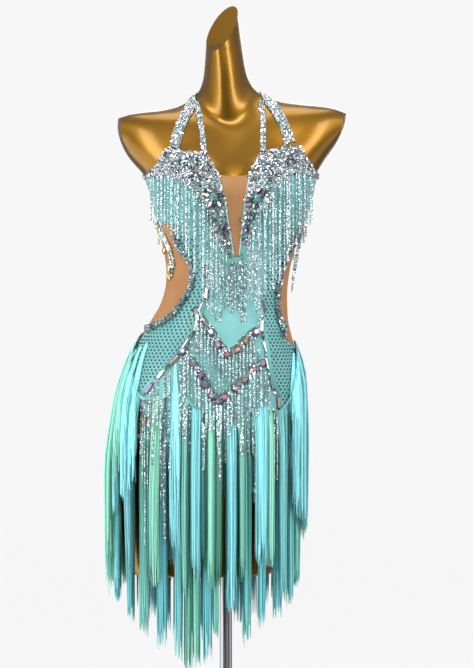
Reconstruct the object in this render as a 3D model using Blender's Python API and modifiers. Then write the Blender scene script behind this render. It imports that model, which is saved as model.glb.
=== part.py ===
"""Latin dance dress with bead and thread fringe, on a limbless dress form.

Metres, +Z up, the wearer's front towards -Y. The origin is the centre of the
stand's underside. A place on the body is a chart point: its turn round the
body (degrees, 0 at the front, 90 at +X, 180 at the back) and its height.
"""
import math
import random
from collections import namedtuple

import bpy
import bmesh
from mathutils import Vector
from mathutils.bvhtree import BVHTree

# ---- Driving dimensions -------------------------------------------------
BASE_RADIUS = 0.170
BASE_HEIGHT = 0.009
BASE_EDGE = 0.003
HUB_RADIUS = 0.024
HUB_HEIGHT = 0.034
POLE_RADIUS = 0.011
FORM_BOTTOM = 0.635
TOUCH_GAP = 0.0003          # between pieces that bear on each other

FORM_SIDES = 40             # points round the form
CLOTH = 0.0012              # wall of every cloth piece
TRIM = 0.0016               # wall of trims and fringe strips
CLEAR = 0.0004              # least air between a piece and what it lies on
SEAM = 0.0004               # each piece draws back this much at a seam
GIRTH = 0.0024              # metres of skin for each degree of turn
HANG_STEP = 0.004           # fringe feels for the body this often

# ---- The dress form -----------------------------------------------------
# Each ring of the form: its height at front, sides and back, its width in x,
# its front, widest line and back in y, and how square it is (2 is an ellipse).
Ring = namedtuple("Ring", "front left right back x_left x_right y_front y_mid y_back square")


def level(height, *rest):
    """A ring that lies flat."""
    return Ring(height, height, height, height, *rest)


RINGS = [
    level(FORM_BOTTOM, -0.176, 0.086, -0.085, 0.006, 0.098, 2.3),
    level(0.643, -0.182, 0.091, -0.091, 0.006, 0.104, 2.3),
    level(0.700, -0.1875, 0.095, -0.094, 0.006, 0.110, 2.3),
    level(0.780, -0.192, 0.101, -0.097, 0.008, 0.119, 2.3),
    level(0.850, -0.193, 0.117, -0.099, 0.011, 0.131, 2.25),
    level(0.900, -0.1905, 0.129, -0.0995, 0.014, 0.138, 2.2),
    level(0.945, -0.185, 0.134, -0.0995, 0.014, 0.136, 2.2),
    level(0.985, -0.1765, 0.133, -0.100, 0.012, 0.126, 2.2),
    level(1.020, -0.166, 0.1265, -0.0985, 0.009, 0.112, 2.2),
    level(1.050, -0.153, 0.1165, -0.095, 0.005, 0.100, 2.2),
    level(1.080, -0.135, 0.1095, -0.089, 0.002, 0.090, 2.15),
    level(1.110, -0.1165, 0.1075, -0.083, 0.000, 0.083, 2.1),
    level(1.145, -0.105, 0.1085, -0.079, 0.000, 0.080, 2.1),
    level(1.180, -0.104, 0.1125, -0.0785, 0.000, 0.081, 2.15),
    level(1.215, -0.1085, 0.1205, -0.081, 0.002, 0.085, 2.2),
    level(1.250, -0.118, 0.133, -0.084, 0.004, 0.090, 2.3),
    level(1.280, -0.1255, 0.145, -0.086, 0.005, 0.094, 2.4),
    level(1.310, -0.132, 0.1535, -0.087, 0.006, 0.096, 2.45),
    level(1.335, -0.1385, 0.159, -0.084, 0.007, 0.096, 2.45),
    level(1.355, -0.152, 0.167, -0.079, 0.008, 0.095, 2.5),
    Ring(1.372, 1.378, 1.382, 1.380, -0.176, 0.183, -0.072, 0.009, 0.094, 2.6),
    Ring(1.388, 1.405, 1.410, 1.405, -0.191, 0.206, -0.064, 0.010, 0.091, 2.8),
    Ring(1.402, 1.432, 1.440, 1.430, -0.1995, 0.219, -0.056, 0.011, 0.087, 2.9),
    Ring(1.414, 1.4525, 1.462, 1.452, -0.1985, 0.222, -0.049, 0.013, 0.082, 2.7),
    Ring(1.424, 1.4625, 1.473, 1.468, -0.172, 0.197, -0.043, 0.015, 0.077, 2.4),
    Ring(1.432, 1.466, 1.477, 1.481, -0.132, 0.154, -0.039, 0.016, 0.072, 2.2),
    Ring(1.439, 1.472, 1.481, 1.491, -0.092, 0.109, -0.037, 0.016, 0.068, 2.1),
    Ring(1.447, 1.486, 1.489, 1.500, -0.062, 0.074, -0.037, 0.014, 0.063, 2.0),
    Ring(1.462, 1.504, 1.505, 1.512, -0.046, 0.050, -0.040, 0.010, 0.057, 2.0),
    Ring(1.490, 1.524, 1.524, 1.530, -0.0405, 0.0395, -0.044, 0.004, 0.049, 2.0),
    Ring(1.530, 1.548, 1.548, 1.552, -0.038, 0.0335, -0.049, -0.002, 0.041, 2.0),
]
# The neck ends in a slanting flat cut.
NECK_TOP = level(1.612, -0.0355, 0.0215, -0.052, -0.008, 0.034, 2.0)
CUT_SLOPE_X = 0.95
CUT_SLOPE_Y = 0.87

# The bust: a rounded swelling on each side, for the cups to sit on.
BUST_X = (-0.060, 0.088)
BUST_HEIGHT = 1.305
BUST_SPREAD_X = 0.069
BUST_SPREAD_Z = 0.082
BUST_DEPTH = 0.043

# ---- Cutting lines of the dress, seen from the front (x, height) --------
# The V has a short bare length above the net, and a long one that holds the net.
V_LEFT_BARE = [(-0.031, 1.376), (-0.023, 1.360), (-0.0134, 1.342)]
V_RIGHT_BARE = [(0.056, 1.374), (0.048, 1.358), (0.0415, 1.342)]
V_LEFT = [(-0.0134, 1.342), (-0.002, 1.306), (0.0045, 1.266), (0.011, 1.229), (0.0155, 1.199)]
V_RIGHT = [(0.0415, 1.342), (0.0335, 1.296), (0.029, 1.263), (0.0256, 1.232), (0.0225, 1.199)]
NET_TOP = [(-0.0134, 1.342), (0.0155, 1.3395), (0.0415, 1.342)]
CUP_TOP_LEFT = [(-0.104, 1.392), (-0.085, 1.387), (-0.0624, 1.3835), (-0.0396, 1.381),
                (-0.031, 1.376)]
CUP_TOP_RIGHT = [(0.056, 1.374), (0.0706, 1.385), (0.0916, 1.3905), (0.111, 1.395),
                 (0.132, 1.395)]
CUP_SIDE_LEFT = [(-0.104, 1.392), (-0.118, 1.371), (-0.130, 1.354)]
CUP_SIDE_RIGHT = [(0.132, 1.395), (0.143, 1.376), (0.156, 1.356)]
UNDER_LEFT = [(-0.066, 1.248), (-0.030, 1.224), (0.0155, 1.199)]
UNDER_RIGHT = [(0.0225, 1.199), (0.066, 1.224), (0.102, 1.248)]
YOKE_TOP_LEFT = [(-0.087, 1.2557), (-0.066, 1.248)]
YOKE_TOP_RIGHT = [(0.102, 1.248), (0.131, 1.2557)]
CUTOUT_LEFT = [(-0.087, 1.2557), (-0.078, 1.215), (-0.061, 1.193), (-0.057, 1.165), (-0.059, 1.148),
               (-0.0675, 1.131), (-0.089, 1.097), (-0.115, 1.076), (-0.136, 1.066)]
CUTOUT_RIGHT = [(0.131, 1.2557), (0.117, 1.229), (0.1045, 1.201), (0.0945, 1.167), (0.090, 1.142),
                (0.088, 1.108), (0.0915, 1.087), (0.100, 1.057)]
YOKE_LEFT = [(-0.066, 1.248), (-0.048, 1.225), (-0.038, 1.201), (-0.0345, 1.165), (-0.035, 1.142),
             (-0.040, 1.108), (-0.053, 1.077), (-0.0675, 1.0485), (-0.110, 0.9975), (-0.153, 0.952)]
YOKE_RIGHT = [(0.102, 1.248), (0.086, 1.225), (0.074, 1.196), (0.067, 1.166), (0.063, 1.140),
              (0.061, 1.115), (0.064, 1.079), (0.069, 1.042), (0.074, 1.002), (0.083, 0.976),
              (0.0925, 0.953), (0.100, 0.922)]

# Cutting lines round the sides and back (turn, height).
CUP_SIDE_TURN = 95.0
CUP_SIDE_TOP = 1.336
CUP_SIDE_FOOT = 1.268
HIP_SEAM_TURN = 90.0
Seam = namedtuple("Seam", "top foot")
HIP_SEAM_LEFT = Seam(1.045, 0.925)
HIP_SEAM_RIGHT = Seam(1.030, 0.915)
FRONT_FOOT = [(-30.0, 0.842), (-6.0, 0.805), (16.0, 0.835)]
BACK_FOOT = [(125.0, 0.862), (180.0, 0.800), (235.0, 0.866)]
BAND_TOP = [(95.0, 1.336), (130.0, 1.306), (180.0, 1.298), (230.0, 1.306), (265.0, 1.336)]
BACK_TOP_MIDDLE = 1.160

# How many facets each stretch of a cutting line has; pieces that meet share them.
V_BARE_FACETS = 3
V_FACETS = 9
UNDER_FACETS = 5
YOKE_TOP_FACETS = 3
UNDERARM_FACETS = 4
CUP_SIDE_FACETS = 8
YOKE_FACETS = 12
HIP_END_FACETS = 4
BAND_FACETS = 6

# Straps, by rough points that are then laid on the form (x, y, height).
STRAP_OUTER_LEFT = [(-0.094, -0.09, 1.3995), (-0.0835, -0.07, 1.4306), (-0.068, -0.03, 1.462),
                    (-0.053, 0.01, 1.483), (-0.043, 0.05, 1.497), (-0.022, 0.075, 1.502)]
STRAP_OUTER_RIGHT = [(0.1185, -0.09, 1.4055), (0.104, -0.07, 1.4376), (0.086, -0.03, 1.467),
                     (0.066, 0.01, 1.486), (0.052, 0.05, 1.498), (0.029, 0.075, 1.503)]
STRAP_INNER_LEFT = [(-0.0376, -0.08, 1.3885), (-0.0415, -0.06, 1.427), (-0.0468, -0.045, 1.452),
                    (-0.0505, -0.025, 1.4685), (-0.0495, -0.012, 1.4755)]
STRAP_INNER_RIGHT = [(0.0655, -0.08, 1.3915), (0.0662, -0.06, 1.427), (0.0655, -0.04, 1.453),
                     (0.0635, -0.02, 1.467), (0.0610, -0.012, 1.4735)]
NECK_BAND = [(-0.0165, 0.08, 1.503), (0.0035, 0.085, 1.5045), (0.0235, 0.08, 1.504)]
STRAP_WIDE = 0.018
STRAP_SLIM = 0.009
STRAP_FACETS = 11
STRAP_INNER_FACETS = 7
NECK_BAND_FACETS = 4

# Stone-set lines over the panels (x, height).
V_LINE_UPPER = [(-0.050, 1.102), (-0.042, 1.086), (-0.0256, 1.0655), (-0.0125, 1.043), (0.0035, 1.0265),
                (0.0204, 1.035), (0.033, 1.0505), (0.0505, 1.0655)]
V_LINE_LOWER = [(-0.0735, 1.033), (-0.056, 1.0114), (-0.043, 0.9915), (-0.0347, 0.974), (-0.024, 0.955),
                (-0.0134, 0.9455), (-0.002, 0.953), (0.0173, 0.9687), (0.032, 0.983), (0.047, 1.002),
                (0.062, 1.011)]
TRIM_WIDTH = 0.0065
STONE_RISE = 0.0022
CUP_STONE_RISE = 0.0028

# ---- Fringe -------------------------------------------------------------
# Bead fringe: where its roots and ends run (x or turn, root height, end height).
Hem = namedtuple("Hem", "place root end")
CUP_HEM_LEFT = [Hem(-0.128, 1.342, 1.262), Hem(-0.106, 1.343, 1.252), Hem(-0.080, 1.330, 1.236),
                Hem(-0.058, 1.314, 1.190), Hem(-0.036, 1.286, 1.128), Hem(-0.022, 1.255, 1.134),
                Hem(-0.008, 1.226, 1.150), Hem(0.004, 1.204, 1.158)]
CUP_HEM_RIGHT = [Hem(0.0375, 1.222, 1.158), Hem(0.046, 1.244, 1.140), Hem(0.060, 1.268, 1.128),
                 Hem(0.073, 1.292, 1.128), Hem(0.092, 1.325, 1.160), Hem(0.110, 1.340, 1.212),
                 Hem(0.132, 1.348, 1.246), Hem(0.150, 1.343, 1.270)]
SIDE_HEM = [Hem(100.0, 1.274, 1.250), Hem(112.0, 1.274, 1.215), Hem(128.0, 1.274, 1.165),
            Hem(146.0, 1.274, 1.140)]
DROP_HEM_LEFT = [Hem(-53.6, 0.9405, 0.680), Hem(-47.2, 0.9410, 0.690)]
DROP_HEM_RIGHT = [Hem(49.8, 0.9280, 0.800), Hem(53.6, 0.9180, 0.815)]
CUP_STRANDS = 22
V_UPPER_DROP = 0.050
V_UPPER_STRANDS = 17
V_LOWER_DROP = 0.068
V_LOWER_STRANDS = 22
SIDE_STRANDS = 9
DROP_STRANDS = 3

# The skirt hangs in two layers, each from its own line (turn, height).
OVER_ROOTS_FRONT = [(-100.0, 1.060), (-88.0, 1.050), (-76.0, 1.000), (-64.0, 0.962), (-55.0, 0.940),
                    (-42.0, 0.941), (-29.0, 0.968), (-14.0, 0.930), (3.0, 0.922), (16.0, 0.906),
                    (28.0, 0.906), (38.0, 0.941), (45.0, 0.941), (56.0, 0.912), (70.0, 0.985),
                    (82.0, 1.040), (89.0, 1.045)]
OVER_ROOTS_BACK = [(91.0, 1.045), (105.0, 1.022), (120.0, 0.975), (135.0, 0.952), (150.0, 0.925),
                   (165.0, 0.935), (180.0, 0.908), (195.0, 0.935), (210.0, 0.928), (225.0, 0.952),
                   (240.0, 0.992), (258.0, 1.058)]
UNDER_ROOTS_FRONT = [(-100.0, 0.905), (-60.0, 0.880), (-20.0, 0.872), (20.0, 0.866), (60.0, 0.878),
                     (89.0, 0.890)]
UNDER_ROOTS_BACK = [(91.0, 0.890), (135.0, 0.876), (180.0, 0.862), (225.0, 0.880), (258.0, 0.904)]

# The locks of the front, each as wide as it hangs (turn, turn, end height).
Lock = namedtuple("Lock", "left right end")
OVER_LOCKS_FRONT = [Lock(-100.0, -93.5, 0.607), Lock(-93.5, -86.5, 0.636), Lock(-86.5, -79.8, 0.668),
                    Lock(-79.8, -72.4, 0.745), Lock(-72.4, -66.2, 0.770), Lock(-64.0, -57.2, 0.638),
                    Lock(-46.6, -38.4, 0.632), Lock(-33.8, -24.2, 0.692), Lock(-24.0, -18.0, 0.606),
                    Lock(-16.2, -7.8, 0.634), Lock(-7.6, -2.2, 0.670), Lock(-1.6, 4.6, 0.630),
                    Lock(4.8, 11.0, 0.635), Lock(14.8, 23.4, 0.583), Lock(24.2, 30.2, 0.632),
                    Lock(35.4, 45.2, 0.668), Lock(45.2, 49.8, 0.650), Lock(53.6, 60.4, 0.590),
                    Lock(64.0, 70.0, 0.738), Lock(70.0, 76.0, 0.730), Lock(76.0, 82.5, 0.722),
                    Lock(82.5, 89.0, 0.726)]
UNDER_LOCKS_FRONT = [Lock(-98.0, -91.0, 0.585), Lock(-90.0, -83.0, 0.596), Lock(-82.0, -73.0, 0.590),
                     Lock(-64.6, -57.6, 0.562), Lock(-54.0, -45.6, 0.540), Lock(-40.4, -31.8, 0.517),
                     Lock(-26.4, -19.6, 0.505), Lock(-18.6, -11.8, 0.472), Lock(-11.4, -4.6, 0.480),
                     Lock(-2.6, 6.0, 0.492), Lock(7.2, 11.4, 0.548), Lock(16.6, 27.6, 0.588),
                     Lock(30.6, 37.9, 0.536), Lock(42.6, 49.4, 0.546), Lock(54.6, 62.0, 0.565),
                     Lock(66.4, 73.4, 0.595), Lock(75.0, 81.4, 0.621), Lock(82.6, 88.5, 0.628)]
# The locks of the back are evenly spaced, and end on these lines (turn, height).
OVER_ENDS_BACK = [(91.0, 0.730), (120.0, 0.660), (150.0, 0.620), (180.0, 0.590), (215.0, 0.620),
                  (258.0, 0.645)]
UNDER_ENDS_BACK = [(91.0, 0.625), (130.0, 0.570), (185.0, 0.490), (230.0, 0.548), (258.0, 0.612)]
BACK_LOCKS = 17
BACK_LOCK_SHARE = 0.86      # of its pitch, that a lock of the back fills

# A strand's make: its width (none takes the width of its root), its depth,
# the least air behind it, how far below the root it has its full shape, and
# its strip's height and its raggedness.
Make = namedtuple("Make", "width depth air neck strip_height ragged")
BEADS = Make(0.0034, 0.0030, 0.0010, 0.010, 0.005, 0.006)
UNDER_THREADS = Make(None, 0.0070, 0.0012, 0.030, 0.006, 0.008)
OVER_THREADS = Make(None, 0.0078, 0.0014, 0.034, 0.006, 0.008)
ROOT_SHARE = 0.88           # of its root's breadth, that a strand may fill
END_SHARE = 0.85            # of its width, that a strand keeps at its end
REACH_AROUND = 0.30         # fringe feels for the body from this far out
SETTLE_ROUNDS = 5
SETTLE_SPOTS = 6            # each facet is tested at this many spots each way
RAGGED_SEED = 11

# ---- Colours (base colour, roughness, metallic) -------------------------
FINISHES = {
    "gold": ((0.62, 0.36, 0.06), 0.22, 0.9),
    "chrome": ((0.75, 0.76, 0.78), 0.12, 1.0),
    "aqua": ((0.16, 0.66, 0.62), 0.55, 0.0),
    "skin_net": ((0.66, 0.42, 0.26), 0.60, 0.0),
    "crystal": ((0.82, 0.86, 0.90), 0.12, 0.0),
    "thread": ((0.20, 0.74, 0.78), 0.45, 0.0),
    "thread_under": ((0.14, 0.60, 0.50), 0.50, 0.0),
}


# ---- Scene and materials ------------------------------------------------
def clear_scene():
    for thing in list(bpy.data.objects):
        bpy.data.objects.remove(thing, do_unlink=True)


def make_materials():
    made = {}
    for name, (colour, roughness, metallic) in FINISHES.items():
        material = bpy.data.materials.new(name)
        material.use_nodes = True
        shader = material.node_tree.nodes["Principled BSDF"]
        shader.inputs["Base Color"].default_value = (*colour, 1.0)
        shader.inputs["Roughness"].default_value = roughness
        shader.inputs["Metallic"].default_value = metallic
        made[name] = material
    return made


def add_object(name, bm, finish, smooth=False):
    """Turn a bmesh into a named object of the dress's collection."""
    bmesh.ops.triangulate(bm, faces=bm.faces)
    mesh = bpy.data.meshes.new(name)
    bm.to_mesh(mesh)
    bm.free()
    thing = bpy.data.objects.new(name, mesh)
    thing.data.materials.append(MATERIALS[finish])
    PARTS.objects.link(thing)
    if smooth:
        mesh.shade_smooth()
        mesh.set_sharp_from_angle(angle=math.radians(40))
    return thing


def surface_of_parts():
    """Everything made so far, as one surface for the next layer to lie on."""
    bpy.context.view_layer.update()
    scene = bpy.context.evaluated_depsgraph_get()
    whole = bmesh.new()
    for thing in PARTS.objects:
        made = thing.evaluated_get(scene)
        piece = bpy.data.meshes.new_from_object(made)
        piece.transform(thing.matrix_world)
        whole.from_mesh(piece)
        bpy.data.meshes.remove(piece)
    bmesh.ops.triangulate(whole, faces=whole.faces)
    surface = BVHTree.FromBMesh(whole)
    whole.free()
    return surface


# ---- Curves -------------------------------------------------------------
def bend(before, start, end, after, t):
    """A point of the Catmull-Rom curve between start and end."""
    return 0.5 * (2 * start + (end - before) * t
                  + (2 * before - 5 * start + 4 * end - after) * t ** 2
                  + (3 * start - before - 3 * end + after) * t ** 3)


def smooth_curve(points, count):
    """The smooth curve through the points, as count + 1 evenly spaced points."""
    points = [Vector(p) for p in points]
    padded = [2 * points[0] - points[1]] + points + [2 * points[-1] - points[-2]]
    fine = []
    for k in range(len(points) - 1):
        fine += [bend(*padded[k:k + 4], step / 12) for step in range(12)]
    fine.append(points[-1])
    lengths = [0.0]
    for a, b in zip(fine, fine[1:]):
        lengths.append(lengths[-1] + (b - a).length)
    spaced = []
    k = 0
    for n in range(count + 1):
        target = lengths[-1] * n / count
        while k < len(fine) - 2 and lengths[k + 1] < target:
            k += 1
        share = (target - lengths[k]) / max(lengths[k + 1] - lengths[k], 1e-9)
        spaced.append(fine[k].lerp(fine[k + 1], min(share, 1.0)))
    return spaced


def read_line(rows, place):
    """The height at a place, from rows of place and height."""
    if place <= rows[0][0]:
        return rows[0][1]
    for (a, low), (b, high) in zip(rows, rows[1:]):
        if place <= b:
            return low + (high - low) * (place - a) / (b - a)
    return rows[-1][1]


# ---- The form -----------------------------------------------------------
def ring_point(ring, turn):
    """The form's surface on a ring, at a turn in degrees from the front."""
    a = math.radians(turn)
    across, ahead = math.sin(a), math.cos(a)
    middle = (ring.x_left + ring.x_right) / 2
    half = (ring.x_right - ring.x_left) / 2
    depth = ring.y_mid - ring.y_front if ahead > 0 else ring.y_back - ring.y_mid
    stretch = (abs(across) / half) ** ring.square + (abs(ahead) / depth) ** ring.square
    reach = stretch ** (-1 / ring.square)
    side = ring.right if across > 0 else ring.left
    end = ring.front if ahead > 0 else ring.back
    height = side * across ** 2 + end * ahead ** 2
    point = Vector((middle + reach * across, ring.y_mid - reach * ahead, height))
    if ahead > 0:
        point.y -= bust_rise(point)
    return point


def bust_rise(point):
    """How far the bust swells forward at a point of the chest."""
    rise = 0.0
    for bust_x in BUST_X:
        across = (point.x - bust_x) / BUST_SPREAD_X
        up = (point.z - BUST_HEIGHT) / BUST_SPREAD_Z
        fall = 1 - across ** 2 - up ** 2
        if fall > 0:
            rise += BUST_DEPTH * fall ** 1.6
    return rise


def neck_cut_point(turn):
    point = ring_point(NECK_TOP, turn)
    middle = (NECK_TOP.x_left + NECK_TOP.x_right) / 2
    point.z += CUT_SLOPE_X * (point.x - middle) + CUT_SLOPE_Y * (point.y - NECK_TOP.y_mid)
    return point


def form_mesh():
    """The whole form: rings joined into a wall, with flat ends."""
    bm = bmesh.new()
    turns = [360 * n / FORM_SIDES for n in range(FORM_SIDES)]
    rows = [[bm.verts.new(ring_point(ring, turn)) for turn in turns] for ring in RINGS]
    rows.append([bm.verts.new(neck_cut_point(turn)) for turn in turns])
    for low, high in zip(rows, rows[1:]):
        for n in range(FORM_SIDES):
            m = (n + 1) % FORM_SIDES
            bm.faces.new((low[n], low[m], high[m], high[n]))
    bm.faces.new(rows[-1])
    bm.faces.new(reversed(rows[0]))
    bmesh.ops.triangulate(bm, faces=bm.faces)
    bm.normal_update()
    return bm


def axis_at(height):
    """The middle of the form at a height, which turns are measured round."""
    for low, high in zip(RINGS, RINGS[1:]):
        if height <= high.left:
            t = max(0.0, (height - low.left) / (high.left - low.left))
            x_low = (low.x_left + low.x_right) / 2
            x_high = (high.x_left + high.x_right) / 2
            return Vector((x_low + (x_high - x_low) * t, low.y_mid + (high.y_mid - low.y_mid) * t,
                           height))
    return Vector((0.0, 0.0, height))


def heading(turn):
    """The level direction away from the axis at a turn."""
    a = math.radians(turn)
    return Vector((math.sin(a), -math.cos(a), 0.0))


# ---- Chart points: (turn * GIRTH, height) --------------------------------
def chart(turn, height):
    return Vector((turn * GIRTH, height))


def chart_front(x, height):
    """The chart point of the skin seen from the front at x."""
    hit = FORM.ray_cast(Vector((x, -1.0, height)), Vector((0.0, 1.0, 0.0)))[0]
    arm = hit - axis_at(height)
    return chart(math.degrees(math.atan2(arm.x, -arm.y)), height)


def front_edge(rows, facets):
    """A cutting line seen from the front, as chart points."""
    return smooth_curve([chart_front(x, height) for x, height in rows], facets)


def turn_edge(rows, facets):
    """A cutting line given by turn and height, as chart points."""
    return smooth_curve([chart(turn, height) for turn, height in rows], facets)


def join(*edges):
    """Several edges end to end, each starting where the last one stops."""
    line = list(edges[0])
    for edge in edges[1:]:
        line += edge[1:]
    return line


class Seat:
    """A point that lies above the form: the form's surface there, the way
    out of it, and how high the point lies along that way."""

    def __init__(self, ground, out, lift):
        self.ground = ground
        self.out = out
        self.lift = lift

    def place(self, extra=0.0):
        return self.ground + self.out * (self.lift + extra)


def skin_seat(point, lift=CLEAR):
    """The seat at a chart point."""
    turn, height = point.x / GIRTH, point.y
    ahead = heading(turn)
    ground, out, _, _ = FORM.ray_cast(axis_at(height) + ahead, -ahead)
    return Seat(ground, out, lift)


def near_seat(place, lift=CLEAR):
    """The seat nearest to a rough place."""
    ground, out, _, _ = FORM.find_nearest(place)
    return Seat(ground, out, lift)


def settle(rows, surface):
    """Raise a grid of seats until its facets lie clear of the surface."""
    spots = [(a / SETTLE_SPOTS, b / SETTLE_SPOTS)
             for a in range(SETTLE_SPOTS + 1) for b in range(SETTLE_SPOTS + 1)]
    for _ in range(SETTLE_ROUNDS):
        for upper, lower in zip(rows, rows[1:]):
            for c in range(len(upper) - 1):
                corners = (upper[c], upper[c + 1], lower[c], lower[c + 1])
                lack = max(CLEAR - clearance(corners, u, v, surface) for u, v in spots)
                if lack > 0:
                    for seat in corners:
                        seat.lift += lack
    return rows


def clearance(corners, u, v, surface):
    """How far a spot of a facet lies above the surface, whichever of its two
    diagonals the facet is folded along."""
    least = math.inf
    for shares in corner_shares(u, v):
        spot, out = Vector(), Vector()
        for seat, share in zip(corners, shares):
            spot += seat.place() * share
            out += seat.out * share
        out.normalize()
        far = 0.03
        distance = surface.ray_cast(spot + out * far, -out)[3]
        if distance is not None:
            least = min(least, distance - far)
    return least


def corner_shares(u, v):
    """The shares of a facet's four corners in its spot at u, v, for each of
    the two diagonals it may be folded along."""
    fall = min(u, v)
    falling = (1 - max(u, v), u - fall, v - fall, fall)
    climb = min(1 - u, v)
    climbing = (1 - u - climb, 1 - v - (1 - u - climb), climb, v - climb)
    return falling, climbing


# ---- Cloth --------------------------------------------------------------
def patch(top, foot, left, right):
    """A grid of chart points that fills the space between four edges. The top
    and the foot have as many points as each other, and so have the sides."""
    grid = []
    for r in range(len(left)):
        v = r / (len(left) - 1)
        line = []
        for c in range(len(top)):
            u = c / (len(top) - 1)
            ruled = top[c] * (1 - v) + foot[c] * v + left[r] * (1 - u) + right[r] * u
            corners = ((top[0] * (1 - u) + top[-1] * u) * (1 - v)
                       + (foot[0] * (1 - u) + foot[-1] * u) * v)
            line.append(ruled - corners)
        grid.append(line)
    return draw_in(grid)


def draw_in(grid):
    """Draw the grid's edges back by the seam gap."""
    for line in grid:
        line[0], line[-1] = towards(line[0], line[1]), towards(line[-1], line[-2])
    for c in range(len(grid[0])):
        first, last = towards(grid[0][c], grid[1][c]), towards(grid[-1][c], grid[-2][c])
        grid[0][c], grid[-1][c] = first, last
    return grid


def towards(point, neighbour):
    step = neighbour - point
    return point + step * (SEAM / step.length)


def fill_grid(bm, verts):
    """Faces between rows of points, facing out; returns them row by row."""
    rows = []
    for upper, lower in zip(verts, verts[1:]):
        rows.append([bm.faces.new((upper[c], lower[c], lower[c + 1], upper[c + 1]))
                     for c in range(len(upper) - 1)])
    return rows


def add_cloth(name, grid, finish):
    """A plain piece: its inside lies over the form, and its wall grows out."""
    seats = settle([[skin_seat(point) for point in line] for line in grid], FORM)
    bm = bmesh.new()
    fill_grid(bm, [[bm.verts.new(seat.place()) for seat in line] for line in seats])
    piece = add_object(name, bm, finish, smooth=True)
    wall = piece.modifiers.new("wall", "SOLIDIFY")
    wall.thickness = CLOTH
    wall.offset = 1.0
    return piece


def close_wall(bm, seats, thickness):
    """A closed wall that grows out from a grid of seats; returns its outer faces."""
    inner = [[bm.verts.new(seat.place()) for seat in line] for line in seats]
    outer = [[bm.verts.new(seat.place(thickness)) for seat in line] for line in seats]
    faces = fill_grid(bm, outer)
    fill_grid(bm, [list(reversed(line)) for line in inner])
    inner_rim, outer_rim = rim(inner), rim(outer)
    for n in range(len(inner_rim)):
        m = (n + 1) % len(inner_rim)
        bm.faces.new((outer_rim[n], outer_rim[m], inner_rim[m], inner_rim[n]))
    return faces


def rim(verts):
    """The points round a grid's edge, clockwise seen from outside."""
    top = verts[0]
    right = [line[-1] for line in verts[1:-1]]
    bottom = list(reversed(verts[-1]))
    left = [line[0] for line in reversed(verts[1:-1])]
    return top + right + bottom + left


def add_stoned_cloth(name, grid, finish, is_stone):
    """A piece whose outside is raised into stones where is_stone says so."""
    seats = settle([[skin_seat(point) for point in line] for line in grid], FORM)
    bm = bmesh.new()
    faces = close_wall(bm, seats, CLOTH)
    stones = []
    for r, line in enumerate(faces):
        for c, face in enumerate(line):
            corners = (grid[r][c], grid[r][c + 1], grid[r + 1][c], grid[r + 1][c + 1])
            if all(is_stone(corner) for corner in corners):
                stones.append(face)
    bm.normal_update()
    bmesh.ops.poke(bm, faces=stones, offset=CUP_STONE_RISE)
    return add_object(name, bm, finish)


def add_ribbon(name, path, width, thickness, finish, surface, stones=()):
    """A strip of cloth along a rough path, laid on the surface; some of its
    lengths may be raised as stones."""
    seats = []
    for n, centre in enumerate(path):
        before, after = path[max(n - 1, 0)], path[min(n + 1, len(path) - 1)]
        out = FORM.find_nearest(centre)[1]
        sideways = out.cross(after - before).normalized()
        seats.append([near_seat(centre + sideways * width * k / 2) for k in (-1, 0, 1)])
    settle(seats, surface)
    bm = bmesh.new()
    faces = close_wall(bm, seats, thickness)
    raised = [face for n in stones for face in faces[n]]
    bm.normal_update()
    bmesh.ops.poke(bm, faces=raised, offset=STONE_RISE)
    return add_object(name, bm, finish)


# ---- Fringe -------------------------------------------------------------
def beside_line(line, distance):
    """The line moved over by a distance, to its upper side."""
    moved = []
    for n, point in enumerate(line):
        along = (line[min(n + 1, len(line) - 1)] - line[max(n - 1, 0)]).normalized()
        moved.append(point + Vector((-along.y, along.x)) * distance)
    return moved


def level_chord(left, right):
    """The level way across the skin, as wide as two chart points are apart."""
    height = (left.y + right.y) / 2
    ends = [skin_seat(Vector((point.x, height))).ground for point in (left, right)]
    chord = ends[1] - ends[0]
    chord.z = 0.0
    return chord


class Hanging:
    """How a strand falls from its root: along what it touches, then free."""

    def __init__(self, root, beside, make, surface):
        self.root = sum((v.co for v in root), Vector()) / 4
        self.air = make.air
        self.width = beside.length * ROOT_SHARE
        if make.width:
            self.width = min(self.width, make.width)
        self.beside = beside.normalized()
        self.ahead = Vector((self.beside.y, -self.beside.x, 0.0))
        self.surface = surface

    def touch(self, spot):
        """How far ahead of a spot the surface reaches."""
        out = self.ahead * REACH_AROUND
        hit = self.surface.ray_cast(spot + out, -self.ahead, 2 * REACH_AROUND)[0]
        return -math.inf if hit is None else (hit - spot).dot(self.ahead)

    def reach(self, height):
        """How far out the strand must hang at a height to clear the surface."""
        facets = max(2, math.ceil(self.width / 0.004))
        line = []
        for k in range(facets + 1):
            spot = self.root + self.beside * (self.width * (k / facets - 0.5))
            spot.z = height
            line.append(spot)
        return max([0.0] + [self.touch(spot) + self.air for spot in line])

    def corners(self, height, reach, share, depth):
        """The strand's four corners at a height, inner side first."""
        centre = self.root + self.ahead * reach
        centre.z = height
        half = self.beside * (self.width * share / 2)
        out = self.ahead * depth
        return (centre - half, centre - half + out, centre + half + out, centre + half)

    def lacks(self, above, below):
        """Where the inner face of a length of strand cuts the surface: how far
        down the length each such spot is, and how much it lacks."""
        rows = max(3, math.ceil((above[0].z - below[0].z) / HANG_STEP))
        columns = max(2, math.ceil(self.width / 0.004))
        spots = (above[0], above[3], below[0], below[3])
        found = []
        for r in range(1, rows + 1):
            for c in range(columns + 1):
                for shares in corner_shares(c / columns, r / rows):
                    spot = sum((place * share for place, share in zip(spots, shares)), Vector())
                    found.append((r / rows, self.touch(spot) + self.air * 0.8))
        return [(v, lack) for v, lack in found if lack > 0]


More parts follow.
